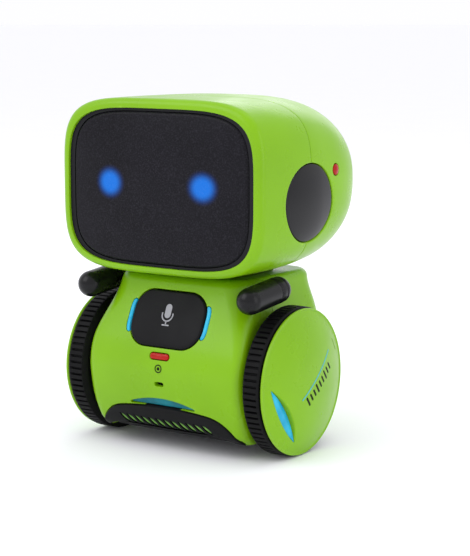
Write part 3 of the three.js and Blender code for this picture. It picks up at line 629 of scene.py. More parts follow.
# CAD nodes that keep their own mesh get the finish of their slot
slotMaterials = {
    "green_shell": green, "black_satin": satin, "black_gloss": piano, "black_rubber": rubber,
    "smoked_lens": smoked, "cyan_lens": cyan, "teal_lens": teal, "red_lens": red, "blue_led": blue,
    "white_acetal": white, "bright_steel": steel, "circuit_board": board, "battery_wrap": film,
}
for part in frame["record"]["subparts"]:
    keeper = bpy.data.objects.get(part["node"])
    if keeper:
        keeper.data.materials.clear()
        keeper.data.materials.append(slotMaterials[part["material_slot"]])
# the capsule behind the microphone hole has a dull black face
bpy.data.objects["microphone"].data.materials[0] = rubber


# ---------- head

headCuts = {
    "flangeY": -36.4, "recessY": -37.9, "lip": 0.35, "neckY": -5.0, "neckRadius": 12.3,
    "screwX": 24.0, "screwZ": 80.0, "screwFaceY": 34.8, "bossRadius": 4.6, "boreRadius": 3.2,
    "seamRound": 0.25,
}
# its last entry is the depth of the black ring put in as painted shade in the gap round the window
screenShape = {"halfWidth": 39.0, "halfHeight": 27.7, "middleZ": 97.7, "edgeY": -40.5, "centreY": -42.98,
               "backY": -38.5, "edgeRound": 1.5, "sideGap": 2.2, "topGap": 1.0, "shadowRingY": -39.9}
earLow, earHigh = boxOf("ear_disc_left")
earShape = {"y": (earLow[1] + earHigh[1]) / 2, "z": (earLow[2] + earHigh[2]) / 2,
            "radius": (earHigh[1] - earLow[1]) / 2, "deep": 3.4, "sink": 0.3, "lip": 0.45}
ledLow, ledHigh = boxOf("side_led_left")
ledShape = {"y": (ledLow[1] + ledHigh[1]) / 2, "z": (ledLow[2] + ledHigh[2]) / 2, "radius": 2.0,
            "proud": 0.35}


def screenRings(y, growX, growZ=None):
    growZ = growX if growZ is None else growZ
    s = screenShape
    return headRings(np.atleast_1d(np.asarray(y, float)), s["halfWidth"] + growX, s["halfHeight"] + growZ,
                     headShape["rimRoundness"], s["middleZ"])


def circle(radius, steps=72):
    angle = np.linspace(0, 2 * np.pi, steps, endpoint=False)
    return radius * np.stack([np.cos(angle), np.sin(angle)], -1)


# quarter turn from 0 to 1 along one side and 0 to 1 along the other
quarter = np.radians(np.linspace(0, 90, 7))


# The front shell is a ring of sections carried round a closed profile: inside, flange, recess, rim, outside.
def headFrontSurface():
    h, c, s = headShape, headCuts, screenShape
    seam = h["seamY"] - h["seamGap"] / 2
    lip, fillet, bead = c["lip"], h["rimFillet"], c["seamRound"]
    recess = screenRings(np.array([c["recessY"], h["frontY"] + lip]), s["sideGap"], s["topGap"])
    lipRings = [screenRings(h["frontY"] + lip * (1 - math.sin(a)), s["sideGap"] + lip * (1 - math.cos(a)),
                            s["topGap"] + lip * (1 - math.cos(a))) for a in quarter[1:]]
    rim = headSkinRings(h["frontY"] + fillet - fillet * np.cos(np.radians(np.linspace(0, 90, 12))))
    outside = headSkinRings(np.linspace(h["frontY"] + fillet, seam - bead, 34)[1:])
    beadRings = [headSkinRings(np.array([seam - bead + bead * math.sin(a)]), bead * (1 - math.cos(a)))
                 for a in quarter[1:]]
    inside = headSkinRings(np.linspace(seam, c["flangeY"], 12), h["wall"])
    flange = screenRings(np.array([c["flangeY"], c["recessY"]]), -3)
    return skin(np.vstack([flange, recess] + lipRings + [rim, outside] + beadRings + [inside]), closed=True)


# The rear shell runs from the middle of its inside, out to the seam and back to the middle of its outside.
def headRearSurface():
    h, c = headShape, headCuts
    seam = h["seamY"] + h["seamGap"] / 2
    bead = c["seamRound"]
    swing = np.radians(np.linspace(0, 88.5, 34))

    def dome(inset):
        back = h["backY"] - inset
        return headSkinRings(back * np.sin(swing) ** (2 / h["backRoundness"]), inset)

    inside = np.vstack([dome(h["wall"])[::-2], headSkinRings(np.array([-4.0, seam]), h["wall"])])
    beadRings = [headSkinRings(np.array([seam + bead - bead * math.sin(a)]), bead * (1 - math.cos(a)))
                 for a in quarter[:0:-1]]
    outside = np.vstack([headSkinRings(np.linspace(seam + bead, -1, 10)), dome(0)])
    return skin(np.vstack([inside] + beadRings + [outside]))


def headCutters():
    c, e, led = headCuts, earShape, ledShape
    earCircle = circle(e["radius"] + 0.25) + [e["y"], e["z"]]
    lampCircle = circle(led["radius"] + 0.35, 32) + [led["y"], led["z"]]
    ear = follow(earCircle, holeLevels(e["deep"] + 3, e["lip"]), onHeadSide)
    lamp = follow(lampCircle, holeLevels(5, 0.2), onHeadSide)
    neck = turnedAlong("z", [(60, c["neckRadius"]), (76, c["neckRadius"])], (0, c["neckY"]))
    return [sided(ear, side) for _, side in sides] + [sided(lamp, side) for _, side in sides] + [neck]


# clearance hole and counterbore for the screw on each side, cut up to the given y
def screwBores(c, endY):
    seat = c["screwFaceY"] - 1.8
    stations = [(10, 1.5), (seat, 1.5), (seat, c["boreRadius"]), (endY, c["boreRadius"])]
    return [turnedAlong("y", stations, (side * c["screwX"], c["screwZ"])) for _, side in sides]


def buildHeadShells():
    c = headCuts
    front = newPiece("headFrontShell", [headFrontSurface()])
    rear = newPiece("headRearShell", [headRearSurface()])
    bosses = [turnedAlong("y", [(26, c["bossRadius"]), (c["screwFaceY"] + 0.1, c["bossRadius"])],
                          (side * c["screwX"], c["screwZ"])) for _, side in sides]
    carve(rear, bosses, "UNION")
    carve(rear, screwBores(c, 60))
    for shell in (front, rear):
        carve(shell, headCutters())
    finish(front, green, "head", ["head_front_shell"])
    finish(rear, green, "head", ["head_rear_shell"])


# The window is a shallow dome: its face falls with the square of the share of the way to its edge.
def buildScreen():
    s = screenShape
    back = screenRings(np.array([s["backY"]]), 0)
    wall = screenRings(np.array([s["backY"], s["edgeY"] + s["edgeRound"]]), 0)
    edge = [screenRings(s["edgeY"] + s["edgeRound"] * (1 - math.sin(a)), -s["edgeRound"] * (1 - math.cos(a)))
            for a in quarter[1:]]
    rimRing = edge[-1][0]
    middle = np.array([0, s["centreY"], s["middleZ"]])
    share = np.linspace(1, 0.02, 22)[1:, None, None]
    face = middle + (rimRing - middle) * share
    face[..., 1] = s["centreY"] + (s["edgeY"] - s["centreY"]) * share[..., 0] ** 2
    backFace = back * [0.9, 1, 0.9] + [0, 0, s["middleZ"] * 0.1]
    window = newPiece("screenWindow", [skin(np.vstack([backFace, wall] + edge + [face]))])
    finish(window, smoked, "head", ["screen_window"])
    # painted shade: a black ring sunk in the gap round the window, darkening the gap as its shadow would
    depth = np.array([s["backY"] + 0.3, s["shadowRingY"]])
    outer = screenRings(depth, s["sideGap"] - 0.04, s["topGap"] - 0.04)
    inner = screenRings(depth[::-1], 0.04)
    shadowRing = newPiece("screenShadowRing", [skin(np.vstack([outer, inner]), closed=True)])
    finish(shadowRing, satin, "head")


def buildHeadTrim():
    e, led = earShape, ledShape
    disc = follow(circle(e["radius"], 96) + [e["y"], e["z"]],
                  plateLevels(e["deep"], -e["sink"], 0.5, 0.7, 14), onHeadSide)
    lamp = follow(circle(led["radius"], 32) + [led["y"], led["z"]],
                  plateLevels(3.4, led["proud"] * 0.3, 0.25, led["proud"]), onHeadSide)
    for name, side in sides:
        ear = newPiece("earDisc_" + name, [sided(disc, side)])
        finish(ear, piano, "head", ["ear_disc_" + name])
        sideLed = newPiece("sideLed_" + name, [sided(lamp, side)])
        finish(sideLed, red, "head", ["side_led_" + name])


buildHeadShells()
buildScreen()
buildHeadTrim()
print("head made")


# ---------- body

bodyCuts = {
    "neckY": -5.0, "neckRadius": 10.3, "lip": 0.3, "doorHalfWidth": 25.0, "doorLow": 13.0, "doorHigh": 48.0,
    "screwX": 21.5, "screwZ": 54.0, "screwFaceY": 21.3, "bossRadius": 4.6, "boreRadius": 3.2,
}
micButton = {"width": 32.0, "height": 21.0, "corner": 8.0, "proud": 0.4, "round": 0.8, "crown": 0.15,
             "gap": 0.35}
recButton = {"width": 8.4, "height": 2.4, "drop": 14.0, "proud": 0.3, "gap": 0.3}
chestLight = {"gap": 0.4, "width": 1.6, "height": 12.4}
frontLens = {"halfWidth": 14.2, "low": 17.3, "high": 20.2, "sink": 0.9, "gap": 0.25}
bumper = {"halfWidth": 31.0, "top": 17.0, "shoulder": 15.9, "bottom": 9.3, "tip": 5.6, "blunt": 1.3,
          "proud": 0.6, "round": 0.4}
slot = {"count": 12, "pitch": 3.4, "length": 6.0, "width": 1.6, "z": 10.8, "lean": 36.0}
micHole = {"width": 4.0, "height": 1.7, "z": 26.0}


def micOutline(grow=0.0):
    m = micButton
    return roundedRect(m["width"] + 2 * grow, m["height"] + 2 * grow, m["corner"] + grow, 12, 16)


def recOutline(grow=0.0):
    high = recButton["height"] + 2 * grow
    return roundedRect(recButton["width"] + 2 * grow, high, high / 2 - 0.02) - [0, recButton["drop"]]


# strip beside the microphone button: its sides follow the button's rounded end, its own ends are round
def lightOutline(grow=0.0):
    c, b = chestLight, micButton
    half = c["height"] / 2 + grow
    v = np.linspace(-1, 1, 41) * half
    centre = b["width"] / 2 - b["corner"]
    bend = np.maximum(0, np.abs(v) - (b["height"] / 2 - b["corner"]))
    reach = b["corner"] + c["gap"] + c["width"] / 2
    middle = centre + np.sqrt(reach ** 2 - bend ** 2)
    straight = 0.86
    past = np.maximum(0, np.abs(v) / half - straight) / (1 - straight)
    wide = (c["width"] / 2 + grow) * np.sqrt(np.maximum(0.02, 1 - past ** 2))
    outer, inner = np.stack([middle + wide, v], -1), np.stack([middle - wide, v], -1)
    return np.vstack([outer, inner[::-1]])


# crescent: a straight lower edge with blunt ends under an arched upper edge
def lensOutline(grow=0.0):
    half, low, high = frontLens["halfWidth"] + grow, frontLens["low"] - grow, frontLens["high"] + grow
    blunt = 0.9
    corners = [(-half, low), (half, low), (half, low + blunt), (-half, low + blunt)]
    return bowed(corners, [0, 0, high - low - blunt, 0], 24)


# lower and upper edge of the bumper at u: a flat arch whose ends run down to blunt tips
def bumperEdges(u):
    b = bumper
    out = np.abs(u)
    low = b["bottom"] - (b["bottom"] - b["tip"]) * np.maximum(0, (out - 13) / 18) ** 2.2
    past = np.maximum(0, out - 17)
    arch = b["top"] - (b["top"] - b["shoulder"]) * (np.minimum(out, 17) / 17) ** 2
    drop = b["shoulder"] - 1.8 - b["tip"] - b["blunt"]
    return low, arch - 0.129 * past - drop * (past / 14) ** 3


# A band along u with the same section everywhere: points given as the share of the way from the lower
# to the upper edge, how far beyond that, and the height above the surface.
def bandAlong(grow, section):
    end = bumper["halfWidth"] + grow
    u = np.linspace(-end, end, 181)
    low, high = bumperEdges(np.clip(u, -bumper["halfWidth"], bumper["halfWidth"]))
    points = [onFront(u, low * (1 - share) + high * share + beyond, height)
              for share, beyond, height in section]
    return skin(np.stack(points, axis=1))


# One closed shell, outside from the top middle down, then inside from the bottom up to the top middle.
def bodySurface():
    b = bodyShape
    fillet = b["top"] - b["topFillet"] + b["topFillet"] * np.sin(np.radians(np.linspace(90, 0, 9)))
    outer = np.concatenate([fillet, np.linspace(b["top"] - b["topFillet"], b["bottom"], 84)[1:]])
    inner = np.concatenate([np.linspace(b["bottom"], 60, 26), [b["top"] - b["wall"]]])
    lid = bodyRings(np.array([b["top"]]), 0) * [0.5, 0.5, 1]
    ceiling = bodyRings(inner[-1:], b["wall"]) * [0.5, 0.5, 1]
    return skin(np.vstack([lid, bodyRings(outer, 0), bodyRings(inner, b["wall"]), ceiling]))


def doorOutline(grow=0.0):
    c = bodyCuts
    width, high = 2 * c["doorHalfWidth"], c["doorHigh"] - c["doorLow"]
    return roundedRect(width + 2 * grow, high + 2 * grow, 1.5 + grow) + [0, c["doorLow"] + high / 2]


def buildBodyShells():
    c, lip = bodyCuts, bodyCuts["lip"]
    shell = newPiece("bodyShell", [bodySurface()])
    axleLow, axleHigh = boxOf("axle_left")
    pinLow, pinHigh = boxOf("arm_pin_left")
    axle, pin = (axleLow + axleHigh) / 2, (pinLow + pinHigh) / 2
    bossEnds = [(14, c["bossRadius"]), (20.4, c["bossRadius"])]
    bosses = [turnedAlong("y", bossEnds, (side * c["screwX"], c["screwZ"])) for _, side in sides]
    carve(shell, bosses, "UNION")
    micHoleOutline = roundedRect(micHole["width"], micHole["height"], 0.8) + [0, micHole["z"]]
    cutters = [
        turnedAlong("z", [(58, c["neckRadius"]), (80, c["neckRadius"])], (0, c["neckY"])),
        follow(micOutline(micButton["gap"]), holeLevels(5, lip), onChest),
        follow(recOutline(recButton["gap"]), holeLevels(5, 0.2), onChest),
        follow(micHoleOutline, holeLevels(5, 0.2), onFront),
        follow(lensOutline(frontLens["gap"]), holeLevels(5, 0.2), onFront),
        follow(doorOutline(0.3), holeLevels(5, 0.25), onBack),
        follow(roundedRect(8, 2.8, 0.4) + [0, 56], holeLevels(5, 0.2), onBack),
    ]
    cutters += screwBores(c, 40)
    for _, side in sides:
        for middle, radius in ((axle, 1.8), (pin, 2.5)):
            reach = [(side * 24, radius), (side * 40, radius)]
            cutters.append(turnedAlong("x", reach, (middle[1], middle[2])))
    carve(shell, cutters)
    light = follow(lightOutline(0.2), holeLevels(4, 0.1), onChest)
    carve(shell, [light, mirrored(light)])
    mouth = [(0, -0.3, -3.2), (0, -0.3, -0.3), (0, -0.6, 0.04), (0, -0.6, 2), (1, 0.6, 2), (1, 0.6, 0.04),
             (1, 0.3, -0.3), (1, 0.3, -3.2)]
    carve(shell, [bandAlong(0.3, mouth)])
    for inset, high in ((4.0, 10.3), (0.4, 6.5)):
        reach = bumper["halfWidth"] - inset
        carve(shell, [boxSurface((-reach, -60, 0), (reach, -27, high))])
    half = bodyShape["seamGap"] / 2
    seam = bodyShape["seamY"]
    rear = bpy.data.objects.new("bodyRearShell", shell.data.copy())
    bpy.context.scene.collection.objects.link(rear)
    carve(shell, [boxSurface((-60, seam - half, 0), (60, 60, 90))])
    carve(rear, [boxSurface((-60, -60, 0), (60, seam + half, 90))])
    shell.name = "bodyFrontShell"
    finish(shell, green, "torso", ["body_front_shell"])
    finish(rear, green, "torso", ["body_rear_shell"])


# microphone sign: a capsule, a cradle of half a circle under it, a stem and a foot
def micSign():
    upright = roundStroke((0, 0.4), (0, 3.0), 2.7)
    angle = np.radians(np.linspace(180, 360, 40))
    cradle = np.stack([2.35 * np.cos(angle), 0.3 + 2.35 * np.sin(angle)], -1)
    cradle = np.vstack([[-2.35, 1.0], cradle, [2.35, 1.0]])
    stem = roundStroke((0, -2.1), (0, -3.4), 0.5)
    foot = roundStroke((-1.35, -3.55), (1.35, -3.55), 0.5)
    return [upright, (cradle, 0.5), stem, foot]


# in mm: the height of the record sign's middle, its ring's radius and line, and its dot's width
recordMark = {"z": 31.9, "ring": 1.35, "line": 0.42, "dot": 1.25}


def buildFront():
    m, r = micButton, recButton
    plate = follow(micOutline(), plateLevels(1.3, m["proud"], m["round"], m["crown"], 12), onChest)
    stem = turnedAlong("z", [(-4.2, 2.5), (-1.2, 2.5)], (0, 0), 32)
    lean = math.radians(chest["lean"])
    points = stem[0]
    out = points[:, 2:] * [[0, -math.cos(lean), math.sin(lean)]] + points[:, :1] * [[1, 0, 0]]
    out = out + points[:, 1:2] * [[0, math.sin(lean), math.cos(lean)]]
    seat = np.array([0, bodyFront(np.array(0.0), np.array(chest["z"])), chest["z"]])
    stemSurface = outward(out + seat, stem[1], stem[2])
    button = newPiece("micButton", [plate])
    carve(button, [stemSurface], "UNION")
    finish(button, satin, "mic_button", ["mic_button"])
    onFace = lambda u, v, height: onChest(u, v + 1.1, height + m["proud"] + m["crown"])
    sign = [stroke(path, widths, onFace) for path, widths in micSign()]
    finish(newPiece("micSign", sign), printInk, "mic_button")
    pill = follow(recOutline(), plateLevels(1.4, r["proud"], 0.5, 0.2), onChest)
    finish(newPiece("recButton", [pill]), red, "rec_button", ["rec_button"])
    strip = follow(lightOutline(), plateLevels(1.4, 0.1, 0.35, 0.1), onChest)
    for name, side in sides:
        finish(newPiece("chestLight_" + name, [sided(strip, side)]), cyan, "torso",
               ["chest_light_" + name])
    lens = follow(lensOutline(), plateLevels(1.3, -frontLens["sink"], 0.3, 0.0), onFront)
    finish(newPiece("frontLightLens", [lens]), teal, "torso", ["front_light_lens"])
    angle = np.linspace(0, 2 * np.pi, 48, endpoint=False)
    onPanel = lambda u, v, height: onFront(u, recordMark["z"] + v, height)
    ringPath = recordMark["ring"] * np.stack([np.cos(angle), np.sin(angle)], -1)
    dot = roundStroke((-0.01, 0), (0.01, 0), recordMark["dot"], 2)
    record = [stroke(ringPath, recordMark["line"], onPanel, closed=True), stroke(dot[0], dot[1], onPanel)]
    finish(newPiece("recordSign", record), darkInk, "torso")


# leaf-shaped slots: two arcs that meet in points, leaning down to the robot's left
def slotLeaves():
    s = slot
    half = s["length"] / 2
    lean = math.radians(s["lean"])
    leaf = bowed([(-half, 0), (half, 0)], [s["width"] / 2, s["width"] / 2], 12)
    turn = np.array([[math.cos(lean), -math.sin(lean)], [math.sin(lean), math.cos(lean)]])
    places = (np.arange(s["count"]) - (s["count"] - 1) / 2) * s["pitch"]
    return [leaf @ turn + [place, s["z"]] for place in places]


# The band is carved by the leaves; a rib a little smaller than each leaf fills it from behind.
def buildBumper():
    b = bumper
    face, bevel = b["proud"], b["round"]
    section = [(0, 0, -1.5), (0, 0, face - bevel), (0, bevel * 0.3, face - bevel * 0.3), (0, bevel, face)]
    section += [(share, bevel * (1 - 2 * share), face) for share in (0.25, 0.5, 0.75)]
    section += [(1, -bevel, face), (1, -bevel * 0.3, face - bevel * 0.3), (1, 0, face - bevel), (1, 0, -1.5)]
    section += [(share, 0, -1.5) for share in (0.75, 0.5, 0.25)]
    band = newPiece("bumperBand", [bandAlong(0, section)])
    carve(band, [follow(leaf, [(-6, 0, 1), (3, 0, 1)], onFront) for leaf in slotLeaves()])
    finish(band, satin, "torso", ["bumper_band"])
    ribs = [follow(grown(leaf, -0.1), plateLevels(2.6, 0.1, 0.25, 0.3), onFront) for leaf in slotLeaves()]
    width = slot["count"] * slot["pitch"] + 2
    strip = follow(roundedRect(width, 3.2, 0.6, 4, 40) + [0, 11.4], plateLevels(3.0, -1.9, 0.3), onFront)
    # the insert and its ribs take the lime with painted shade
    finish(newPiece("bumperInsert", [strip] + ribs), paintedShadeLime, "torso", ["bumper_insert"])


# Battery door's lid, with three finger ribs on each side of its screw, in mm
doorLid = {"thick": 2, "round": 0.35, "ribX": 16, "ribPitch": 4, "ribLength": 8, "ribWidth": 1.3,
           "ribCorner": 0.6, "ribDepth": 0.5, "ribRound": 0.12}
# stations (y, radius) of the screw's hole through the lid and the wider seat for its head
screwHole = [(10, 1.4), (20.4, 1.4), (20.4, 3.1), (30, 3.1)]
# power switch: a plate inside the shell, a stem through it and a grip cut by a row of teeth, in mm
switchKnob = {"x": -1.6, "z": 56, "plate": 1, "stemHalfX": 1.0, "stemHalfZ": 0.8, "stemFrom": 0.9,
              "stemTo": 19.8, "width": 4, "height": 2, "corner": 0.4, "thick": 2.0, "sink": 0.3,
              "round": 0.25}
knobTeeth = {"count": 4, "first": -1.5, "pitch": 0.8, "width": 0.35, "halfZ": 1.3, "from": 19.2, "to": 23}


# Battery door: a flat lid with two groups of three raised finger ribs and a sunk screw seat.
def buildBack():
    low, high = boxOf("door_screw")
    screw = (low + high) / 2
    d, k, t = doorLid, switchKnob, knobTeeth
    lid = newPiece("batteryDoor", [follow(doorOutline(), plateLevels(d["thick"], 0, d["round"]), onBack)])
    rib = roundedRect(d["ribLength"], d["ribWidth"], d["ribCorner"])
    ribs = []
    for _, side in sides:
        for row in (-1, 0, 1):
            place = [side * d["ribX"], screw[2] + row * d["ribPitch"]]
            ribs.append(follow(rib + place, holeLevels(d["ribDepth"], d["ribRound"]), onBack))
    bore = turnedAlong("y", screwHole, (screw[0], screw[2]))
    carve(lid, ribs + [bore])
    finish(lid, green, "battery_door", ["battery_door"])
    low, high = boxOf("power_switch")
    plate = boxSurface(tuple(low), (high[0], low[1] + k["plate"], high[2]))
    stem = boxSurface((k["x"] - k["stemHalfX"], low[1] + k["stemFrom"], k["z"] - k["stemHalfZ"]),
                      (k["x"] + k["stemHalfX"], k["stemTo"], k["z"] + k["stemHalfZ"]))
    grip = follow(roundedRect(k["width"], k["height"], k["corner"]) + [k["x"], k["z"]],
                  plateLevels(k["thick"], -k["sink"], k["round"]), onBack)
    knob = newPiece("powerSwitch", [plate, stem, grip])
    teeth = []
    for step in range(t["count"]):
        start = k["x"] + t["first"] + step * t["pitch"]
        teeth.append(boxSurface((start, t["from"], k["z"] - t["halfZ"]),
                                (start + t["width"], t["to"], k["z"] + t["halfZ"])))
    carve(knob, teeth)
    finish(knob, satin, "power_switch", ["power_switch"])


buildBodyShells()
buildFront()
buildBumper()
buildBack()
print("body made")


# ---------- wheels, arms and roller

# walls are (x from the inner face, radius) and (x short of the outer face, drop from the tread)
tyre = {"ribs": 74, "grooveDepth": 1.0, "ribShare": 0.6, "ribbedFrom": 1.6, "ribbedTo": 1.0,
        "seat": 20.8, "innerWall": [(0, 24.8), (0.25, 25.3), (0.9, 26.5)], "innerLead": (0.3, 0.12),
        "outerLead": (0.25, 0.03), "outerWall": [(0.4, 0.12), (0.12, 0.32), (0, 0.7)]}
hubLight = {"from": (-22.6, 0.6), "to": (-7.9, -20.6), "swell": 2.1, "faceX": 46.2}
hubCap = {"radius": 27.0, "rimX": 43.5, "rimHeight": 0.6, "outerX": 50.0, "apexX": 49.92}
# places on the hub cap are given across and up from the axle
hubSlit = {"from": (17.9, 13.2), "to": (20.2, 9.2), "width": 0.7}
hubPrint = {
    "lineFrom": (-7.6, -5.0), "lineTo": (12.1, 10.4), "lineWidth": 0.5, "count": 9, "first": (-3.9, -6.0),
    "pitch": (1.9, 1.34), "shortReach": (0.75, -0.95), "longReach": (1.05, -1.33), "markWidth": 0.85,
}
armShape = {"radius": 4.9, "length": 18.0, "droop": 5.5, "ring": 0.0, "grooves": (2.6, 3.3, 4.0)}


# Grid over the tyre: stations across its section and steps round it. The tread is lowered between ribs.
def tyreSurface():
    low, high = boxOf("tyre_left")
    radius, inner, outer = (high[2] - low[2]) / 2, low[0], high[0]
    middleY, middleZ = (low[1] + high[1]) / 2, (low[2] + high[2]) / 2
    steps = tyre["ribs"] * 10
    angle = np.linspace(0, 2 * np.pi, steps, endpoint=False)
    phase = (angle * tyre["ribs"] / (2 * np.pi)) % 1
    gap = smooth((np.abs(phase - 0.5) - tyre["ribShare"] / 2) / 0.1)
    start, stop = inner + tyre["ribbedFrom"], outer - tyre["ribbedTo"]
    innerLead, outerLead = tyre["innerLead"], tyre["outerLead"]
    profile = [(inner, tyre["seat"])] + [(inner + x, rise) for x, rise in tyre["innerWall"]]
    profile += [(start - innerLead[0], radius - innerLead[1]), (start, radius)]
    profile += [(x, radius) for x in np.linspace(start, stop, 10)[1:]]
    profile += [(stop + outerLead[0], radius - outerLead[1])]
    profile += [(outer - x, radius - drop) for x, drop in tyre["outerWall"]] + [(outer, tyre["seat"])]
    x = np.array([p[0] for p in profile])[:, None]
    rise = np.array([p[1] for p in profile])[:, None]
    tread = smooth((x - start + 0.2) / 0.5) * smooth((stop + 0.2 - x) / 0.5)
    height = rise - tyre["grooveDepth"] * tread * gap
    y, z = middleY + height * np.cos(angle), middleZ + height * np.sin(angle)
    return skin(np.stack([x + 0 * angle, y, z], -1), closed=True)


# x of the hub cap's dome at a distance from the axle: a sphere's cap behind a small rim
def capDome(reach):
    rise = hubCap["outerX"] - hubCap["rimX"] - hubCap["rimHeight"]
    sphere = (hubCap["radius"] ** 2 + rise ** 2) / (2 * rise)
    return hubCap["apexX"] - sphere + np.sqrt(sphere ** 2 - reach ** 2)


wheelY = hingeAt("wheel_left_spin")[1]
wheelZ = hingeAt("wheel_left_spin")[2]


def onCap(u, v, height):
    return np.stack([capDome(np.hypot(u, v)) + height, wheelY + u, wheelZ + v], -1)


# stations (x, radius) of the hub cap's rim, round its lip to the dome's edge, and the dome's radii
capRim = [(43.5, 10.0), (43.5, 26.2), (43.6, 26.6), (43.85, 26.9), (44.15, 27.0), (44.45, 26.95),
          (44.62, 26.75), (44.65, 26.5), (44.5, 26.3), (44.52, 26.1)]
capReach = np.linspace(25.9, 1.0, 40)


def hubCapSurface():
    stations = capRim + [(float(capDome(r)), float(r)) for r in capReach]
    return turnedAlong("x", stations, (wheelY, wheelZ), 144)


def lensOf(grow=0.0):
    start, end = np.array(hubLight["from"]), np.array(hubLight["to"])
    half = np.linalg.norm(end - start) / 2 + grow
    swell = hubLight["swell"] + grow
    flat = bowed([(-half, 0), (half, 0)], [swell, swell], 24)
    lean = math.atan2(*(end - start)[::-1])
    turn = np.array([[math.cos(lean), math.sin(lean)], [-math.sin(lean), math.cos(lean)]])
    return flat @ turn + (start + end) / 2


def buildWheel(name, side):
    body = "wheel_" + name
    ring = newPiece("tyre_" + name, [sided(tyreSurface(), side)])
    finish(ring, rubber, body, ["tyre_" + name], 40)
    cap = newPiece("hubCap_" + name, [sided(hubCapSurface(), side)])
    slit = stroke(*roundStroke(hubSlit["from"], hubSlit["to"], hubSlit["width"], 8), onCap, height=0.4)
    carve(cap, [sided(follow(lensOf(0.3), holeLevels(8, 0.5), onCap), side), sided(slit, side)])
    finish(cap, green, body, ["hub_cap_" + name])

    def flatFace(u, v, height):
        bulge = 0.35 * np.exp(-((np.hypot(u, v) - 18) / 6) ** 2)
        return np.stack([hubLight["faceX"] - 0.5 + bulge + height, wheelY + u, wheelZ + v], -1)

    insert = follow(lensOf(0.15), plateLevels(1.7, 0, 0.3, 0.25), flatFace)
    light = newPiece("hubLight_" + name, [sided(insert, side)])
    finish(light, cyan, body, ["hub_light_" + name])
    p = hubPrint
    line = stroke(np.linspace(p["lineFrom"], p["lineTo"], 30), p["lineWidth"], onCap)
    marks = []
    for step in range(p["count"]):
        centre = np.array(p["first"]) + step * np.array(p["pitch"])
        reach = np.array(p["shortReach"] if step % 3 else p["longReach"])
        marks.append(stroke(*roundStroke(centre - reach, centre + reach, p["markWidth"], 8), onCap))
    finish(newPiece("hubLine_" + name, [sided(line, side)]), tealInk, body)
    finish(newPiece("hubMarks_" + name, [sided(mark, side) for mark in marks]), darkInk, body)


# Capsule turned about its own axis, which runs forwards and a little down from the shoulder: a ball at
# each end, a shallow ring near the shoulder and three fine grooves beyond it.
def armSurface():
    a = armShape
    radius, long = a["radius"], a["length"]
    ball = np.radians(np.linspace(-86, 0, 16))
    straight = np.linspace(0, long, 140)[1:-1]
    along = np.concatenate([radius * np.sin(ball), straight, long - radius * np.sin(ball[::-1])])
    reach = np.concatenate([radius * np.cos(ball), np.full(138, radius), radius * np.cos(ball[::-1])])
    reach = reach - 0.42 * np.exp(-((along - a["ring"]) / 0.42) ** 4)
    for groove in a["grooves"]:
        reach = reach - 0.22 * np.exp(-((along - groove) / 0.2) ** 2)
    angle = np.linspace(0, 2 * np.pi, 64, endpoint=False)
    droop = math.radians(a["droop"])
    ahead = np.array([0, -math.cos(droop), -math.sin(droop)])
    up = np.array([0, -math.sin(droop), math.cos(droop)])
    low, high = boxOf("arm_left")
    shoulder = np.array([(low[0] + high[0]) / 2, hingeAt("arm_left_swing")[1], hingeAt("arm_left_swing")[2]])
    along, reach = along[:, None, None], reach[:, None, None]
    around = np.cos(angle)[:, None] * [1, 0, 0] + np.sin(angle)[:, None] * up
    return skin(shoulder + ahead * along + reach * around)


def buildArms():
    y, z = hingeAt("arm_left_swing")[1:]
    for name, side in sides:
        piece = newPiece("arm_" + name, [sided(armSurface(), side)])
        socket = turnedAlong("x", [(29.0, 2.3), (34.5, 2.3)], (y, z), 32)
        carve(piece, [sided(socket, side)])
        finish(piece, armBlack, "arm_" + name, ["arm_" + name])


# in mm: half the roller's width, its pin's radius, the rounded edge and the grooves round it
roller = {"half": 3.8, "pin": 1.2, "edge": 0.4, "corner": 0.12, "grooves": (-1.6, 0, 1.6),
          "grooveTop": 0.45, "grooveFloor": 0.3, "grooveDepth": 0.35}


def buildRoller():
    low, high = boxOf("rear_roller")
    y, z = (low[1] + high[1]) / 2, (low[2] + high[2]) / 2
    radius, pin, r = (high[2] - low[2]) / 2, high[0], roller
    half, edge, corner = r["half"], r["edge"], r["corner"]
    floor = radius - r["grooveDepth"]
    end = [(half - edge, radius), (half - corner, radius - corner), (half, radius - edge),
           (half, r["pin"]), (pin, r["pin"])]
    stations = [(-x, rise) for x, rise in reversed(end)]
    for groove in r["grooves"]:
        stations += [(groove - r["grooveTop"], radius), (groove - r["grooveFloor"], floor),
                     (groove + r["grooveFloor"], floor), (groove + r["grooveTop"], radius)]
    stations += end
    drum = newPiece("rearRoller", [turnedAlong("x", stations, (y, z), 64)])
    finish(drum, rubber, "rear_roller", ["rear_roller"])


# in mm, but for the dome, which is (drop from the top, share of the head's radius)
screwShape = {"head": 1.5, "headShare": 0.45, "tip": 0.3, "taper": 1.0, "shank": 1.05,
              "dome": [(0.55, 1), (0.25, 0.93), (0.06, 0.7), (0, 0.3)],
              "crossLong": 1.6, "crossThin": 0.3, "crossDepth": 0.6, "crossAbove": 1}


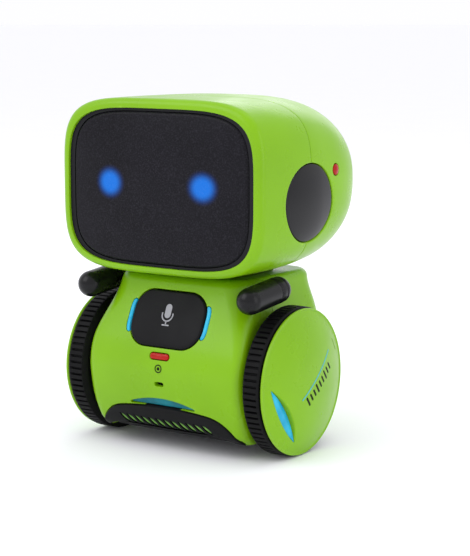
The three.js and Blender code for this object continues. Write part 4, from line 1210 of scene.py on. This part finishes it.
# Pan-head screw: a domed head with a cross recess on a plain shank.
def buildScrews():
    s = screwShape
    screws = {"body_screw_left": "torso", "body_screw_right": "torso", "head_screw_left": "head",
              "head_screw_right": "head", "door_screw": "battery_door"}
    for node, body in screws.items():
        low, high = boxOf(node)
        x, z = (low[0] + high[0]) / 2, (low[2] + high[2]) / 2
        face, radius = high[1], (high[0] - low[0]) / 2
        seat = face - min(s["head"], s["headShare"] * (face - low[1]))
        stations = [(low[1], s["tip"]), (low[1] + s["taper"], s["shank"]), (seat, s["shank"]), (seat, radius)]
        stations += [(face - drop, radius * share) for drop, share in s["dome"]]
        piece = newPiece(node.replace("_s", "S").replace("_l", "L").replace("_r", "R"),
                         [turnedAlong("y", stations, (x, z), 40)])
        long, thin = s["crossLong"], s["crossThin"]
        for alongX, alongZ in ((long, thin), (thin, long)):
            carve(piece, [boxSurface((x - alongX, face - s["crossDepth"], z - alongZ),
                                     (x + alongX, face + s["crossAbove"], z + alongZ))])
        finish(piece, steel, body, [node], 28)


for name, side in sides:
    buildWheel(name, side)
buildArms()
buildRoller()
buildScrews()
print("wheels, arms and roller made")


# ---------- stage, lights and camera

studio = {
    "floor": "fcfcff", "floorBright": "fdfdff", "world": "fbfbff", "worldStrength": 1.03,
    "floorHalf": 40.0,
    "azimuth": 34.306, "elevation": 8.794, "camera": (370.6, -534.8, 160.8), "lens": 111.70, "sensor": 36.0,
}


def buildStage():
    half = studio["floorHalf"]
    mesh = bpy.data.meshes.new("floor")
    corners = [(-half, -half, 0), (half, -half, 0), (half, half, 0), (-half, half, 0)]
    mesh.from_pydata(corners, [], [(0, 1, 2, 3)])
    floor = bpy.data.objects.new("floor", mesh)
    bpy.context.scene.collection.objects.link(floor)
    material, shader, place = newMaterial("studio paper", {"Roughness": 0.9, "Specular IOR Level": 0.1})
    tint = spread(material, grain(material, place, 60), 0.3, 0.7, 0, 1)
    colour = blendColours(material, tint, studio["floor"], studio["floorBright"])
    material.node_tree.links.new(colour, shader.inputs["Base Color"])
    floor.data.materials.append(material)


def addLight(name, place, target, width, height, power):
    lamp = bpy.data.lights.new(name, "AREA")
    lamp.shape = "RECTANGLE"
    lamp.size, lamp.size_y = width, height
    lamp.energy = power
    light = bpy.data.objects.new(name, lamp)
    bpy.context.scene.collection.objects.link(light)
    aim(light, place, target)


# turns an object so that its own -Z looks from its place to the target
def aim(thing, place, target):
    ahead = np.array(target, float) - np.array(place, float)
    thing.location = place
    flat = math.hypot(ahead[0], ahead[1])
    thing.rotation_euler = (math.pi / 2 + math.atan2(ahead[2], flat), 0, math.atan2(-ahead[0], ahead[1]))


def buildLights():
    world = bpy.data.worlds.new("studio")
    bpy.context.scene.world = world
    world.use_nodes = True
    background = world.node_tree.nodes["Background"]
    background.inputs["Color"].default_value = linear(studio["world"])
    background.inputs["Strength"].default_value = studio["worldStrength"]
    middle = (0, 0, 0.07)
    addLight("keySoftbox", (-0.45, -0.75, 0.75), middle, 0.7, 0.7, 3.2)
    addLight("rightSoftbox", (0.95, -0.05, 0.35), middle, 0.45, 0.8, 1.4)
    addLight("topSoftbox", (0.1, 0.1, 1.0), middle, 0.8, 0.8, 1.5)
    addLight("backSoftbox", (-0.3, 0.9, 0.5), middle, 0.6, 0.6, 0.9)


def buildCamera():
    s = studio
    data = bpy.data.cameras.new("camera")
    data.lens, data.sensor_width, data.sensor_fit = s["lens"], s["sensor"], "AUTO"
    data.clip_start, data.clip_end = 0.01, 20
    camera = bpy.data.objects.new("camera", data)
    bpy.context.scene.collection.objects.link(camera)
    turn, tilt = math.radians(s["azimuth"]), math.radians(s["elevation"])
    place = np.array(s["camera"]) * mm
    back = np.array([math.sin(turn) * math.cos(tilt), -math.cos(turn) * math.cos(tilt), math.sin(tilt)])
    aim(camera, tuple(place), tuple(place - back))
    bpy.context.scene.camera = camera


buildStage()
buildLights()
buildCamera()
bpy.context.scene.view_settings.view_transform = "Standard"
print("stage, lights and camera set")
